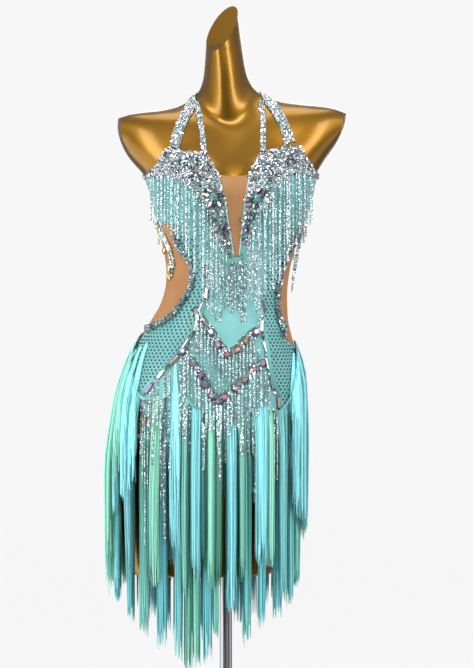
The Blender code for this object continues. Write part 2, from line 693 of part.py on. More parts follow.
def grow_strand(bm, root, beside, end, make, surface):
    """Grow one strand down from its root's four corners to its end."""
    hang = Hanging(root, beside, make, surface)
    low_root = min(v.co.z for v in root)
    length = low_root - end
    steps = max(6, math.ceil(length / HANG_STEP))
    heights = [low_root - length * n / steps for n in range(steps + 1)]
    reaches = []
    for height in heights:
        reaches.append(max(reaches[-1:] + [hang.reach(height)]))
    neck = max(1, round(min(make.neck, length * 0.4) / length * steps))
    free = next(n for n, reach in enumerate(reaches) if reach > reaches[-1] - 0.0005)
    middle = min(max(free, neck + 1, steps // 2), steps - 1)

    stops = (neck, middle, steps)
    shares = (1.0, 1.0, END_SHARE)
    levels = [reaches[stop] for stop in stops]
    for _ in range(SETTLE_ROUNDS):
        rings = [[v.co for v in root]]
        for stop, level, share in zip(stops, levels, shares):
            rings.append(hang.corners(heights[stop], level, share, make.depth))
        for k in range(3):
            lacks = hang.lacks(rings[k], rings[k + 1])
            if lacks and k:
                levels[k - 1] += max(lack * min(1.0, 2 - 2 * v) for v, lack in lacks)
            if lacks:
                levels[k] += max(lack * min(1.0, 2 * v) for v, lack in lacks)
    rings = [hang.corners(heights[stop], level, share, make.depth)
             for stop, level, share in zip(stops, levels, shares)]

    upper = list(root)
    for spots in rings:
        lower = [bm.verts.new(spot) for spot in spots]
        for k in range(4):
            j = (k + 1) % 4
            bm.faces.new((upper[j], upper[k], lower[k], lower[j]))
        upper = lower
    bm.faces.new(reversed(upper))


def add_fringe(name, roots, locks, make, finish, surface, to_chart, stones=()):
    """Locks or strands on one narrow strip.

    The strip has a length for each lock and one for each gap between locks.
    A lock grows from the underside of its own length of the strip, so that
    the roots are one piece and the locks stand apart below it.
    """
    ragged = random.Random(RAGGED_SEED)
    places = sorted({place for lock in locks for place in (lock.left, lock.right)})
    line = [to_chart(place, read_line(roots, place)) for place in places]
    if to_chart is chart_front:
        upper = beside_line(line, make.strip_height)
    else:
        upper = [point + Vector((0.0, make.strip_height)) for point in line]
    seats = settle([[skin_seat(point) for point in row] for row in (upper, line)], surface)
    bm = bmesh.new()
    inner = [[bm.verts.new(seat.place()) for seat in row] for row in seats]
    outer = [[bm.verts.new(seat.place(TRIM)) for seat in row] for row in seats]
    faces = fill_grid(bm, outer)[0]
    fill_grid(bm, [list(reversed(row)) for row in inner])
    bm.faces.new((outer[0][0], inner[0][0], inner[1][0], outer[1][0]))
    bm.faces.new((outer[0][-1], outer[1][-1], inner[1][-1], inner[0][-1]))
    ends = {lock.left: lock.end for lock in locks}
    for n in range(len(places) - 1):
        bm.faces.new((inner[0][n], outer[0][n], outer[0][n + 1], inner[0][n + 1]))
        root = (inner[1][n], outer[1][n], outer[1][n + 1], inner[1][n + 1])
        if places[n] in ends:
            end = ends[places[n]] + ragged.uniform(-1, 1) * make.ragged
            if to_chart is chart_front:
                beside = Vector((places[n + 1] - places[n], 0.0, 0.0))
            else:
                beside = level_chord(line[n], line[n + 1])
            grow_strand(bm, root, beside, end, make, surface)
        else:
            bm.faces.new(reversed(root))
    raised = [faces[n] for n in stones]
    bm.normal_update()
    bmesh.ops.poke(bm, faces=raised, offset=STONE_RISE)
    return add_object(name, bm, finish)


def even_locks(first, last, count, ends, share=1.0):
    """Locks evenly spaced from first to last, which end on a line."""
    pitch = (last - first) / count
    locks = []
    for n in range(count):
        middle = first + pitch * (n + 0.5)
        half = pitch * share / 2
        left = first + pitch * n if share == 1.0 else middle - half
        right = first + pitch * (n + 1) if share == 1.0 else middle + half
        locks.append(Lock(round(left, 6), round(right, 6), read_line(ends, middle)))
    return locks


def add_bead_fringe(name, hem, count, surface, to_chart=chart_front, stones=()):
    """Strands of beads, evenly spaced along a hem."""
    roots = [(row.place, row.root) for row in hem]
    ends = [(row.place, row.end) for row in hem]
    locks = even_locks(hem[0].place, hem[-1].place, count, ends)
    return add_fringe(name, roots, locks, BEADS, "crystal", surface, to_chart, stones)


# ---- Sub-parts ----------------------------------------------------------
def add_stand():
    """A round steel plate with a hub, and the pole that stands on it."""
    top = BASE_HEIGHT + HUB_HEIGHT
    profile = [(0.0, top), (HUB_RADIUS - BASE_EDGE, top), (HUB_RADIUS, top - BASE_EDGE),
               (HUB_RADIUS, BASE_HEIGHT), (BASE_RADIUS - BASE_EDGE, BASE_HEIGHT),
               (BASE_RADIUS, BASE_HEIGHT - BASE_EDGE), (BASE_RADIUS, 0.0), (0.0, 0.0)]
    bm = bmesh.new()
    verts = [bm.verts.new((x, 0.0, z)) for x, z in profile]
    for a, b in zip(verts, verts[1:]):
        bm.edges.new((a, b))
    base = add_object("stand_base", bm, "chrome")
    turned = base.modifiers.new("turned", "SCREW")
    turned.steps = turned.render_steps = 36
    turned.use_merge_vertices = True
    turned.merge_threshold = 0.00001

    foot = top + TOUCH_GAP
    length = FORM_BOTTOM - TOUCH_GAP - foot
    bm = bmesh.new()
    bmesh.ops.create_cone(bm, cap_ends=True, segments=24, radius1=POLE_RADIUS, radius2=POLE_RADIUS,
                          depth=length)
    pole = add_object("stand_pole", bm, "chrome", smooth=True)
    pole.location.z = foot + length / 2


def cut_edges():
    """The cutting lines that pieces share, by name and side."""
    edges = {}
    for side, sign in (("left", -1), ("right", 1)):
        is_left = sign < 0
        hip = HIP_SEAM_LEFT if is_left else HIP_SEAM_RIGHT
        seam_turn = sign * HIP_SEAM_TURN
        edges["v_bare", side] = front_edge(V_LEFT_BARE if is_left else V_RIGHT_BARE, V_BARE_FACETS)
        edges["v", side] = front_edge(V_LEFT if is_left else V_RIGHT, V_FACETS)
        edges["under", side] = front_edge(UNDER_LEFT if is_left else UNDER_RIGHT, UNDER_FACETS)
        yoke_top = front_edge(YOKE_TOP_LEFT if is_left else YOKE_TOP_RIGHT, YOKE_TOP_FACETS)
        edges["yoke_top", side] = yoke_top
        cutout = front_edge(CUTOUT_LEFT if is_left else CUTOUT_RIGHT, YOKE_FACETS)
        edges["cutout", side] = cutout
        yoke = front_edge(YOKE_LEFT if is_left else YOKE_RIGHT, YOKE_FACETS)
        edges["yoke", side] = yoke
        corner = chart(sign * CUP_SIDE_TURN, CUP_SIDE_FOOT)
        edges["underarm", side] = smooth_curve([corner, cutout[0]], UNDERARM_FACETS)
        edges["hip_top", side] = smooth_curve([cutout[-1], chart(seam_turn, hip.top)], HIP_END_FACETS)
        edges["hip_foot", side] = smooth_curve([yoke[-1], chart(seam_turn, hip.foot)], HIP_END_FACETS)
    return edges


def flip(edge):
    return list(reversed(edge))


def add_cups(edges):
    """The two cups, stoned between the neckline and their fringe."""
    side = [chart_front(x, height) for x, height in CUP_SIDE_LEFT]
    side = smooth_curve(side + [chart(-88, 1.345), chart(-CUP_SIDE_TURN, CUP_SIDE_TOP)], CUP_SIDE_FACETS)
    down = smooth_curve([side[-1], chart(-CUP_SIDE_TURN, CUP_SIDE_FOOT)], V_BARE_FACETS + V_FACETS
                        - CUP_SIDE_FACETS)
    foot = join(edges["underarm", "left"], edges["yoke_top", "left"], edges["under", "left"])
    top = front_edge(CUP_TOP_LEFT, len(foot) - 1)
    v_edge = join(edges["v_bare", "left"], edges["v", "left"])
    add_stoned_cloth("cup_left", patch(top, foot, join(side, down), v_edge), "aqua",
                     above_hem(CUP_HEM_LEFT))

    side = [chart_front(x, height) for x, height in CUP_SIDE_RIGHT]
    side = smooth_curve(side + [chart(88, 1.347), chart(CUP_SIDE_TURN, CUP_SIDE_TOP)], CUP_SIDE_FACETS)
    down = smooth_curve([side[-1], chart(CUP_SIDE_TURN, CUP_SIDE_FOOT)], V_BARE_FACETS + V_FACETS
                        - CUP_SIDE_FACETS)
    foot = join(edges["under", "right"], edges["yoke_top", "right"], flip(edges["underarm", "right"]))
    top = front_edge(CUP_TOP_RIGHT, len(foot) - 1)
    v_edge = join(edges["v_bare", "right"], edges["v", "right"])
    add_stoned_cloth("cup_right", patch(top, foot, v_edge, join(side, down)), "aqua",
                     above_hem(CUP_HEM_RIGHT))


def above_hem(hem):
    """A test for the stoned part of a cup: clear above its fringe strip."""
    margin = BEADS.strip_height + 0.002
    roots = sorted(tuple(chart_front(row.place, row.root)) for row in hem)

    def is_stone(point):
        inside = roots[0][0] < point.x < roots[-1][0]
        return inside and point.y > read_line(roots, point.x) + margin
    return is_stone


def add_front(edges):
    """The net in the V, the centre front and the two dotted hip panels."""
    v_left, v_right = edges["v", "left"], edges["v", "right"]
    foot = smooth_curve([v_left[-1], v_right[-1]], 3)
    add_cloth("neckline_insert", patch(front_edge(NET_TOP, 3), foot, v_left, v_right), "skin_net")

    top = join(edges["under", "left"], foot, edges["under", "right"])
    yoke_left, yoke_right = edges["yoke", "left"], edges["yoke", "right"]
    brief = [yoke_left[-1]] + [chart(turn, height) for turn, height in FRONT_FOOT] + [yoke_right[-1]]
    foot = smooth_curve(brief, len(top) - 1)
    add_cloth("front_panel", patch(top, foot, yoke_left, yoke_right), "aqua")

    for side in ("left", "right"):
        outer = join(edges["cutout", side], edges["hip_top", side])
        inner = join(edges["yoke", side], edges["hip_foot", side])
        seam = smooth_curve([outer[-1], inner[-1]], YOKE_TOP_FACETS)
        if side == "left":
            grid = patch(edges["yoke_top", side], seam, outer, inner)
        else:
            grid = patch(edges["yoke_top", side], flip(seam), inner, outer)
        add_cloth("hip_panel_" + side, grid, "aqua")


def back_top(first, last, facets):
    """The back panel's top edge between two turns, as chart points."""
    edge = []
    for n in range(facets + 1):
        turn = first + (last - first) * n / facets
        rise = (1 + math.cos(math.radians((turn - 180) * 2))) / 2
        side = HIP_SEAM_RIGHT.top if turn < 180 else HIP_SEAM_LEFT.top
        edge.append(chart(turn, side + (BACK_TOP_MIDDLE - side) * rise))
    return edge


def add_back(edges):
    """The lower back with the brief's back, the nets and the back band."""
    first, last = HIP_SEAM_TURN, 360 - HIP_SEAM_TURN
    half_top = UNDERARM_FACETS + BAND_FACETS
    right_top, left_top = back_top(first, 180, half_top), back_top(180, last, half_top)
    whole_turn = Vector((360 * GIRTH, 0.0))
    left_foot = chart(last, HIP_SEAM_LEFT.foot)
    foot = [chart(first, HIP_SEAM_RIGHT.foot)] + [chart(*row) for row in BACK_FOOT] + [left_foot]
    foot = smooth_curve(foot, 2 * half_top)
    top = join(right_top, left_top)
    right_seam, left_seam = smooth_curve([top[0], foot[0]], 4), smooth_curve([top[-1], foot[-1]], 4)
    add_cloth("back_panel", patch(top, foot, right_seam, left_seam), "aqua")

    band_foot = turn_edge([(CUP_SIDE_TURN, CUP_SIDE_FOOT), (180, CUP_SIDE_FOOT),
                           (360 - CUP_SIDE_TURN, CUP_SIDE_FOOT)], 2 * BAND_FACETS)
    band_top = turn_edge(BAND_TOP, 2 * BAND_FACETS)
    ends = [smooth_curve([band_top[n], band_foot[n]], 2) for n in (0, -1)]
    add_cloth("back_band", patch(band_top, band_foot, *ends), "aqua")

    front = join(edges["cutout", "right"], edges["hip_top", "right"])
    middle = smooth_curve([band_foot[BAND_FACETS], right_top[-1]], len(front) - 1)
    top = join(flip(edges["underarm", "right"]), band_foot[:BAND_FACETS + 1])
    add_cloth("side_net_right", patch(top, right_top, front, middle), "skin_net")

    front = join(edges["cutout", "left"], edges["hip_top", "left"])
    middle = [point - whole_turn for point in middle]
    around = [point - whole_turn for point in band_foot[BAND_FACETS:]]
    foot = [point - whole_turn for point in left_top]
    add_cloth("side_net_left", patch(join(around, edges["underarm", "left"]), foot, middle, front),
              "skin_net")


def add_halter():
    """Four straps and the band behind the neck that joins them."""
    for name, rough, width, facets in (
            ("strap_outer_left", STRAP_OUTER_LEFT, STRAP_WIDE, STRAP_FACETS),
            ("strap_outer_right", STRAP_OUTER_RIGHT, STRAP_WIDE, STRAP_FACETS),
            ("strap_inner_left", STRAP_INNER_LEFT, STRAP_SLIM, STRAP_INNER_FACETS),
            ("strap_inner_right", STRAP_INNER_RIGHT, STRAP_SLIM, STRAP_INNER_FACETS),
            ("neck_band", NECK_BAND, STRAP_WIDE, NECK_BAND_FACETS)):
        add_ribbon(name, smooth_curve(rough, facets), width, CLOTH, "crystal", FORM)


def add_trims(surface):
    """Stones set along the cut-outs and the yoke seams."""
    lines = (("trim_left", CUTOUT_LEFT, 22, 1), ("trim_right", CUTOUT_RIGHT, 20, 1),
             ("baguette_left", YOKE_LEFT[4:-1], 14, 2), ("baguette_right", YOKE_RIGHT[5:-1], 12, 2))
    for name, rows, facets, pitch in lines:
        path = [skin_seat(point).place() for point in front_edge(rows, facets)]
        add_ribbon(name, path, TRIM_WIDTH, TRIM, "crystal", surface, stones=range(0, facets, pitch))


def drop_hem(line, drop):
    """A hem that hangs evenly from a line."""
    return [Hem(x, height, height - drop) for x, height in line]


def add_skirt_layer(layer, roots_front, locks_front, roots_back, ends_back, make, finish):
    surface = surface_of_parts()
    add_fringe("skirt_" + layer + "_front", roots_front, locks_front, make, finish, surface, chart)
    locks_back = even_locks(roots_back[0][0], roots_back[-1][0], BACK_LOCKS, ends_back,
                            BACK_LOCK_SHARE)
    add_fringe("skirt_" + layer + "_back", roots_back, locks_back, make, finish, surface, chart)


def add_fringes():
    """Every fringe, from the innermost layer to the outermost."""
    cloth = surface_of_parts()
    add_bead_fringe("cup_fringe_left", CUP_HEM_LEFT, CUP_STRANDS, cloth)
    add_bead_fringe("cup_fringe_right", CUP_HEM_RIGHT, CUP_STRANDS, cloth)
    add_bead_fringe("side_fringe_right", SIDE_HEM, SIDE_STRANDS, cloth, chart)
    side_left = [Hem(-row.place, row.root, row.end) for row in reversed(SIDE_HEM)]
    add_bead_fringe("side_fringe_left", side_left, SIDE_STRANDS, cloth, chart)
    add_bead_fringe("v_fringe_upper", drop_hem(V_LINE_UPPER, V_UPPER_DROP), V_UPPER_STRANDS, cloth,
                    stones=range(0, V_UPPER_STRANDS, 2))
    add_skirt_layer("under", UNDER_ROOTS_FRONT, UNDER_LOCKS_FRONT, UNDER_ROOTS_BACK,
                    UNDER_ENDS_BACK, UNDER_THREADS, "thread_under")
    add_skirt_layer("over", OVER_ROOTS_FRONT, OVER_LOCKS_FRONT, OVER_ROOTS_BACK, OVER_ENDS_BACK,
                    OVER_THREADS, "thread")
    skirt = surface_of_parts()
    add_bead_fringe("v_fringe_lower", drop_hem(V_LINE_LOWER, V_LOWER_DROP), V_LOWER_STRANDS, skirt,
                    stones=range(1, V_LOWER_STRANDS, 2))
    add_bead_fringe("drop_fringe_left", DROP_HEM_LEFT, DROP_STRANDS, skirt, chart)
    add_bead_fringe("drop_fringe_right", DROP_HEM_RIGHT, DROP_STRANDS, skirt, chart)


clear_scene()
PARTS = bpy.data.collections.new("latin_dance_dress")
bpy.context.scene.collection.children.link(PARTS)
MATERIALS = make_materials()
form_bm = form_mesh()
FORM = BVHTree.FromBMesh(form_bm)
add_object("dress_form", form_bm, "gold", smooth=True)
add_stand()
shared_edges = cut_edges()
add_cups(shared_edges)
add_front(shared_edges)
add_back(shared_edges)
add_halter()
add_trims(surface_of_parts())
add_fringes()
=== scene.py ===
import itertools
import math
import random

import bmesh
import bpy
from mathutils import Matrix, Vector
from mathutils.bvhtree import BVHTree


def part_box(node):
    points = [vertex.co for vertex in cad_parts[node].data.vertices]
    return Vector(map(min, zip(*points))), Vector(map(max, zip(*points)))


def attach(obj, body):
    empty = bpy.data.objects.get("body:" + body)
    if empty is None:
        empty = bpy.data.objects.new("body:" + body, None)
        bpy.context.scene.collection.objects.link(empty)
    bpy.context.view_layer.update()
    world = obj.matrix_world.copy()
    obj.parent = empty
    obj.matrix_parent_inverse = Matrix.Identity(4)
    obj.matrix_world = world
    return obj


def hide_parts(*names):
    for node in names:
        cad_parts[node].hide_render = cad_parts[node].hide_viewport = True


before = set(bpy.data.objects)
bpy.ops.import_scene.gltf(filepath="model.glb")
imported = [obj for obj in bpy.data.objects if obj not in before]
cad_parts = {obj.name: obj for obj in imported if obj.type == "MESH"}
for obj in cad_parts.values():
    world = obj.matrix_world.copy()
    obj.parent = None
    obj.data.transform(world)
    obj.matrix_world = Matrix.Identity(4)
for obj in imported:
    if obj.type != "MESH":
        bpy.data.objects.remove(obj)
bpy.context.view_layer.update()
mm = 0.001
across, inward, up = Vector((1.0, 0.0, 0.0)), Vector((0.0, 1.0, 0.0)), Vector((0.0, 0.0, 1.0))
anyTurn = 6.28  # the most that a stone or a thread's wave is turned by chance
print("frame: %d solids" % len(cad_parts))


def addObject(name, data):
    added = bpy.data.objects.new(name, data)
    bpy.context.scene.collection.objects.link(added)
    return added


# camera, level with the waist and straight in front
shot = {"aim": (0.019, 0.0, 1.0632), "distance": 3.6, "tall": 1.2024, "filmTall": 24.0, "nearest": 0.05}


def addCamera():
    film = bpy.data.cameras.new("camera")
    film.sensor_fit = "VERTICAL"
    film.sensor_height = shot["filmTall"]
    film.lens = shot["filmTall"] * shot["distance"] / shot["tall"]
    film.clip_start = shot["nearest"]
    camera = addObject("camera", film)
    camera.location = Vector(shot["aim"]) - inward * shot["distance"]
    camera.rotation_euler = (math.pi / 2, 0.0, 0.0)
    bpy.context.scene.camera = camera


addCamera()


# small helpers for node trees
def feed(node, sockets):
    # an input that is given a socket is linked to it, any other value is set
    for name, value in sockets.items():
        if isinstance(value, bpy.types.NodeSocket):
            node.id_data.links.new(value, node.inputs[name])
        else:
            node.inputs[name].default_value = value


def addNode(tree, kind, sockets=None, **settings):
    node = tree.nodes.new(kind)
    for name, value in settings.items():
        setattr(node, name, value)
    feed(node, sockets or {})
    return node.outputs


def maths(tree, operation, *values):
    return addNode(tree, "ShaderNodeMath", dict(enumerate(values)), operation=operation)[0]


def mapRange(tree, value, start, end, low=0.0, high=1.0):
    return addNode(tree, "ShaderNodeMapRange", {"Value": value, "From Min": start, "From Max": end,
                                                "To Min": low, "To Max": high})["Result"]


def ramp(tree, factor, stops):
    fac = addNode(tree, "ShaderNodeValToRGB", {"Fac": factor})["Color"]
    elements = fac.node.color_ramp.elements
    while len(elements) < len(stops):
        elements.new(0.5)
    for element, (position, colour) in zip(elements, stops):
        element.position = position
        element.color = (*colour, 1.0)
    return fac


def greys(*stops):
    return [(position, (value, value, value)) for position, value in stops]


def mixColour(tree, factor, first, second, blend="MIX"):
    colours = [colour if isinstance(colour, bpy.types.NodeSocket) else (*colour, 1.0)
               for colour in (first, second)]
    return addNode(tree, "ShaderNodeMix", {0: factor, 6: colours[0], 7: colours[1]},
                   data_type="RGBA", blend_type=blend)[2]


def noise(tree, scale, detail):
    coords = addNode(tree, "ShaderNodeTexCoord")
    return addNode(tree, "ShaderNodeTexNoise",
                   {"Vector": coords["Object"], "Scale": scale, "Detail": detail})["Fac"]


def wave(tree, direction, scale, distortion, detail, detailScale):
    coords = addNode(tree, "ShaderNodeTexCoord")
    return addNode(tree, "ShaderNodeTexWave",
                   {"Vector": coords["Object"], "Scale": scale, "Distortion": distortion,
                    "Detail": detail, "Detail Scale": detailScale}, bands_direction=direction)["Fac"]


def attribute(tree, name):
    return addNode(tree, "ShaderNodeAttribute", attribute_name=name)["Fac"]


def bump(tree, height, strength, distance):
    return addNode(tree, "ShaderNodeBump",
                   {"Height": height, "Strength": strength, "Distance": distance})["Normal"]


def startGroup(name, inputs, outputs):
    tree = bpy.data.node_groups.new(name, "ShaderNodeTree")
    for label, value in inputs.items():
        socket = tree.interface.new_socket(label, in_out="INPUT", socket_type="NodeSocketFloat")
        socket.default_value = value
    for label in outputs:
        tree.interface.new_socket(label, in_out="OUTPUT", socket_type="NodeSocketFloat")
    return tree, addNode(tree, "NodeGroupInput")


# a fine cloth grain: threads each way and a slow cloudiness
def makeGrainGroup():
    tree, given = startGroup("clothGrain", {"Pitch": 900.0, "Cloud": 14.0}, ["Height", "Cloudiness"])
    heights = [wave(tree, direction, given["Pitch"], 1.2, 1.0, 2.0) for direction in ("X", "Z")]
    addNode(tree, "NodeGroupOutput", {"Height": maths(tree, "MAXIMUM", *heights),
                                      "Cloudiness": noise(tree, given["Cloud"], 3.0)})
    return tree


# how a stone or bead differs from its neighbours, read from its own attribute
def makeTintGroup():
    tree, given = startGroup("stoneTint", {"Steps": 7.0}, ["Tint", "Bright"])
    tint = attribute(tree, "tint")
    bright = maths(tree, "FRACT", maths(tree, "MULTIPLY", tint, given["Steps"]))
    addNode(tree, "NodeGroupOutput", {"Tint": tint, "Bright": bright})
    return tree


grainGroup = makeGrainGroup()
tintGroup = makeTintGroup()


def startMaterial(name):
    material = bpy.data.materials.new(name)
    material.use_nodes = True
    return material, material.node_tree, material.node_tree.nodes["Principled BSDF"]


# gold lacquer, with faint unevenness in its gloss
def makeGold(name, dull, coat):
    material, tree, shader = startMaterial(name)
    uneven = noise(tree, 6.0, 4.0)
    feed(shader, {"Metallic": 1.0, "Coat Weight": coat, "Coat Roughness": 0.16,
                  "Base Color": ramp(tree, uneven, [(0.3, (0.170, 0.079, 0.003)),
                                                    (0.7, (0.215, 0.102, 0.005))]),
                  "Roughness": mapRange(tree, uneven, 0.0, 1.0, dull - 0.05, dull + 0.05),
                  "Normal": bump(tree, noise(tree, 45.0, 2.0), 0.06, 0.0004)})
    return material


def makeChrome():
    material, tree, shader = startMaterial("chrome")
    feed(shader, {"Metallic": 1.0, "Base Color": (0.29, 0.30, 0.31, 1.0),
                  "Roughness": mapRange(tree, noise(tree, 30.0, 5.0), 0.0, 1.0, 0.05, 0.14)})
    return material


# cloth in two tones that drift into each other, over a fine grain
def makeCloth(name, deep, light, roughness, pitch, sheen, shine=0.5):
    material, tree, shader = startMaterial(name)
    grain = addNode(tree, "ShaderNodeGroup", {"Pitch": pitch}, node_tree=grainGroup)
    tone = ramp(tree, grain["Cloudiness"], [(0.32, deep), (0.68, light)])
    weave = ramp(tree, grain["Height"], greys((0.0, 0.72), (0.8, 1.0)))
    feed(shader, {"Roughness": roughness, "Sheen Weight": sheen, "Sheen Roughness": 0.35,
                  "Specular IOR Level": shine, "Base Color": mixColour(tree, 0.8, tone, weave, "MULTIPLY"),
                  "Normal": bump(tree, grain["Height"], 0.35, 0.0003)})
    return material


# silvered stones: a tint of their own, painted shade that darkens the sides and crown while the table keeps
# its full colour, and a painted coloured glint at the edge
def makeStones(name, stops, roughness, metallic, sides=(0.45, 0.45, 0.48), coat=1.0, glint=0.45):
    material, tree, shader = startMaterial(name)
    own = addNode(tree, "ShaderNodeGroup", node_tree=tintGroup)
    body = ramp(tree, own["Tint"], stops)
    # painted shade: every face off the table is multiplied by the side colour, as far as the table attribute
    # says
    body = mixColour(tree, attribute(tree, "table"), mixColour(tree, 1.0, body, sides, "MULTIPLY"), body)
    # painted glint: a colour mixed in towards the edge as the stone turns away from view
    flash = ramp(tree, own["Bright"], [(0.0, (0.95, 0.55, 0.85)), (0.35, (0.50, 0.75, 1.0)),
                                       (0.7, (0.55, 1.0, 0.85)), (1.0, (1.0, 0.90, 0.55))])
    edge = maths(tree, "MULTIPLY", addNode(tree, "ShaderNodeLayerWeight", {"Blend": 0.35})["Facing"], glint)
    feed(shader, {"Roughness": roughness, "Metallic": metallic, "Coat Weight": coat,
                  "Coat Roughness": 0.02, "Base Color": mixColour(tree, edge, body, flash)})
    return material


# silky thread: its tone runs from sky blue to mint, its shade from lit to deep
def makeThread(name, blue, mint, deep):
    material, tree, shader = startMaterial(name)
    colour = ramp(tree, attribute(tree, "tone"), [(0.2, blue), (0.8, mint)])
    shaded = mixColour(tree, attribute(tree, "shade"), colour, mixColour(tree, 1.0, colour, deep, "MULTIPLY"))
    twist = wave(tree, "DIAGONAL", 260.0, 2.0, 2.0, 1.0)
    feed(shader, {"Roughness": 0.36, "Sheen Weight": 0.12, "Sheen Roughness": 0.3,
                  "Specular IOR Level": 0.5, "Base Color": shaded,
                  "Normal": bump(tree, twist, 0.3, 0.0002)})
    return material


gold = makeGold("goldLacquer", 0.34, 0.4)
dullGold = makeGold("goldCut", 0.6, 0.0)
chrome = makeChrome()
aquaCloth = makeCloth("aquaStretch", (0.115, 0.36, 0.36), (0.165, 0.44, 0.435), 0.45, 900.0, 0.2)
skinNet = makeCloth("skinNet", (0.31, 0.15, 0.058), (0.38, 0.195, 0.085), 0.7, 700.0, 0.0, 0.2)
clearStones = makeStones("clearStones", [(0.0, (0.86, 0.87, 0.88)), (0.30, (0.60, 0.60, 0.62)),
                                         (0.50, (0.50, 0.43, 0.54)), (0.66, (0.34, 0.48, 0.49)),
                                         (0.82, (0.06, 0.09, 0.09)), (1.0, (0.80, 0.74, 0.62))],
                         0.10, 0.9, (0.30, 0.31, 0.33))
smokyStones = makeStones("smokyStones", [(0.0, (0.05, 0.09, 0.10)), (0.6, (0.02, 0.05, 0.06)),
                                         (0.85, (0.20, 0.18, 0.26)), (1.0, (0.5, 0.6, 0.65))], 0.12, 0.8)
colouredStones = makeStones("colouredStones", [(0.0, (0.80, 0.30, 0.58)), (0.3, (0.42, 0.28, 0.62)),
                                               (0.50, (0.75, 0.72, 0.82)), (0.70, (0.45, 0.40, 0.50)),
                                               (1.0, (0.80, 0.50, 0.30))],
                            0.24, 0.9, (0.20, 0.14, 0.20), 0.3)
amberStones = makeStones("amberStones", [(0.0, (0.95, 0.50, 0.05)), (1.0, (1.0, 0.70, 0.20))], 0.15, 0.6)
# painted shade: the sides are near black, so each oval shows a dark rim round its table
ovalStones = makeStones("ovalStones", [(0.0, (0.34, 0.13, 0.36)), (0.35, (0.55, 0.50, 0.54)),
                                       (0.65, (0.60, 0.34, 0.16)), (1.0, (0.50, 0.18, 0.28))],
                        0.22, 0.9, (0.04, 0.03, 0.04), 0.35)
dotStones = makeStones("dotStones", [(0.0, (0.010, 0.060, 0.066)), (1.0, (0.030, 0.115, 0.120))],
                       0.40, 0.1, coat=0.1, glint=0.05)
silverBeads = makeStones("silverBeads", [(0.0, (0.88, 0.97, 0.97)), (0.40, (0.66, 0.84, 0.85)),
                                         (0.58, (0.58, 0.70, 0.72)), (0.74, (0.42, 0.64, 0.64)),
                                         (0.88, (0.16, 0.26, 0.27)), (1.0, (0.85, 0.74, 0.86))],
                         0.16, 0.9, (0.92, 0.92, 0.92))
overThread = makeThread("threadOver", (0.33, 0.90, 0.98), (0.35, 0.86, 0.67), (0.01, 0.16, 0.15))
# the under layer is the same thread as the over layer, painted darker as painted shade
shadedUnderThread = makeThread("threadUnder", (0.22, 0.76, 0.86), (0.26, 0.78, 0.60), (0.01, 0.17, 0.16))
piping = makeCloth("palePiping", (0.42, 0.80, 0.72), (0.55, 0.86, 0.78), 0.4, 1200.0, 0.2)
print("materials ready")


# geometry-node trees: each takes a geometry and gives real mesh in one material
def startTree(name, sockets):
    tree = bpy.data.node_groups.new(name, "GeometryNodeTree")
    tree.is_modifier = True
    tree.interface.new_socket("Geometry", in_out="OUTPUT", socket_type="NodeSocketGeometry")
    for label, kind in {"Geometry": "Geometry", **sockets, "Finish": "Material"}.items():
        tree.interface.new_socket(label, in_out="INPUT", socket_type="NodeSocket" + kind)
    return tree, addNode(tree, "NodeGroupInput")


def endTree(tree, given, geometry, smooth=False):
    real = addNode(tree, "GeometryNodeRealizeInstances", {0: geometry})[0]
    if smooth:
        real = addNode(tree, "GeometryNodeSetShadeSmooth", {0: real})[0]
    done = addNode(tree, "GeometryNodeSetMaterial", {0: real, "Material": given["Finish"]})[0]
    addNode(tree, "NodeGroupOutput", {0: done})
    return tree


def named(tree, label, kind="FLOAT_VECTOR"):
    return addNode(tree, "GeometryNodeInputNamedAttribute", {"Name": label}, data_type=kind)["Attribute"]


def turnBy(tree, rotation, more):
    return addNode(tree, "FunctionNodeRotateRotation", {0: rotation, 1: more}, rotation_space="LOCAL")[0]


def stonesOn(tree, given, points, rotation, size):
    # each stone is tipped a little its own way and keeps its own tint
    lean = addNode(tree, "FunctionNodeRandomValue", {0: (-1.0, -1.0, -1.0), "Seed": given["Seed"]},
                   data_type="FLOAT_VECTOR")[0]
    tip = addNode(tree, "ShaderNodeVectorMath", {0: lean, "Scale": given["Tilt"]}, operation="SCALE")[0]
    turned = turnBy(tree, rotation, addNode(tree, "FunctionNodeEulerToRotation", {0: tip})[0])
    shape = addNode(tree, "GeometryNodeObjectInfo", {"Object": given["Shape"]})["Geometry"]
    placed = addNode(tree, "GeometryNodeInstanceOnPoints",
                     {"Points": points, "Instance": shape, "Rotation": turned, "Scale": size})[0]
    tint = addNode(tree, "FunctionNodeRandomValue", {"Seed": given["Seed"]}, data_type="FLOAT")[1]
    stored = addNode(tree, "GeometryNodeStoreNamedAttribute",
                     {"Geometry": placed, "Name": "tint", "Value": tint},
                     data_type="FLOAT", domain="INSTANCE")[0]
    return endTree(tree, given, stored)


stoneSockets = {"Shape": "Object", "Tilt": "Float", "Seed": "Int"}


# stones set one by one: each point says which way is out, which way is along, and its size
def makeSetTree():
    tree, given = startTree("setStones", stoneSockets)
    facing = addNode(tree, "FunctionNodeAxesToRotation", {0: named(tree, "out"), 1: named(tree, "along")},
                     primary_axis="Z", secondary_axis="X")[0]
    return stonesOn(tree, given, given["Geometry"], facing, named(tree, "size"))


# stones strewn close together over a surface
def makeStrewTree():
    tree, given = startTree("strewStones", {**stoneSockets, "Gap": "Float", "Size": "Vector"})
    spread = addNode(tree, "GeometryNodeDistributePointsOnFaces",
                     {"Mesh": given["Geometry"], "Distance Min": given["Gap"], "Density Max": 3.0e6,
                      "Seed": given["Seed"]}, distribute_method="POISSON")
    spin = addNode(tree, "FunctionNodeRandomValue", {3: anyTurn, "Seed": given["Seed"]}, data_type="FLOAT")[1]
    spun = addNode(tree, "FunctionNodeAxisAngleToRotation", {0: (0.0, 0.0, 1.0), 1: spin})[0]
    return stonesOn(tree, given, spread["Points"], turnBy(tree, spread["Rotation"], spun), given["Size"])


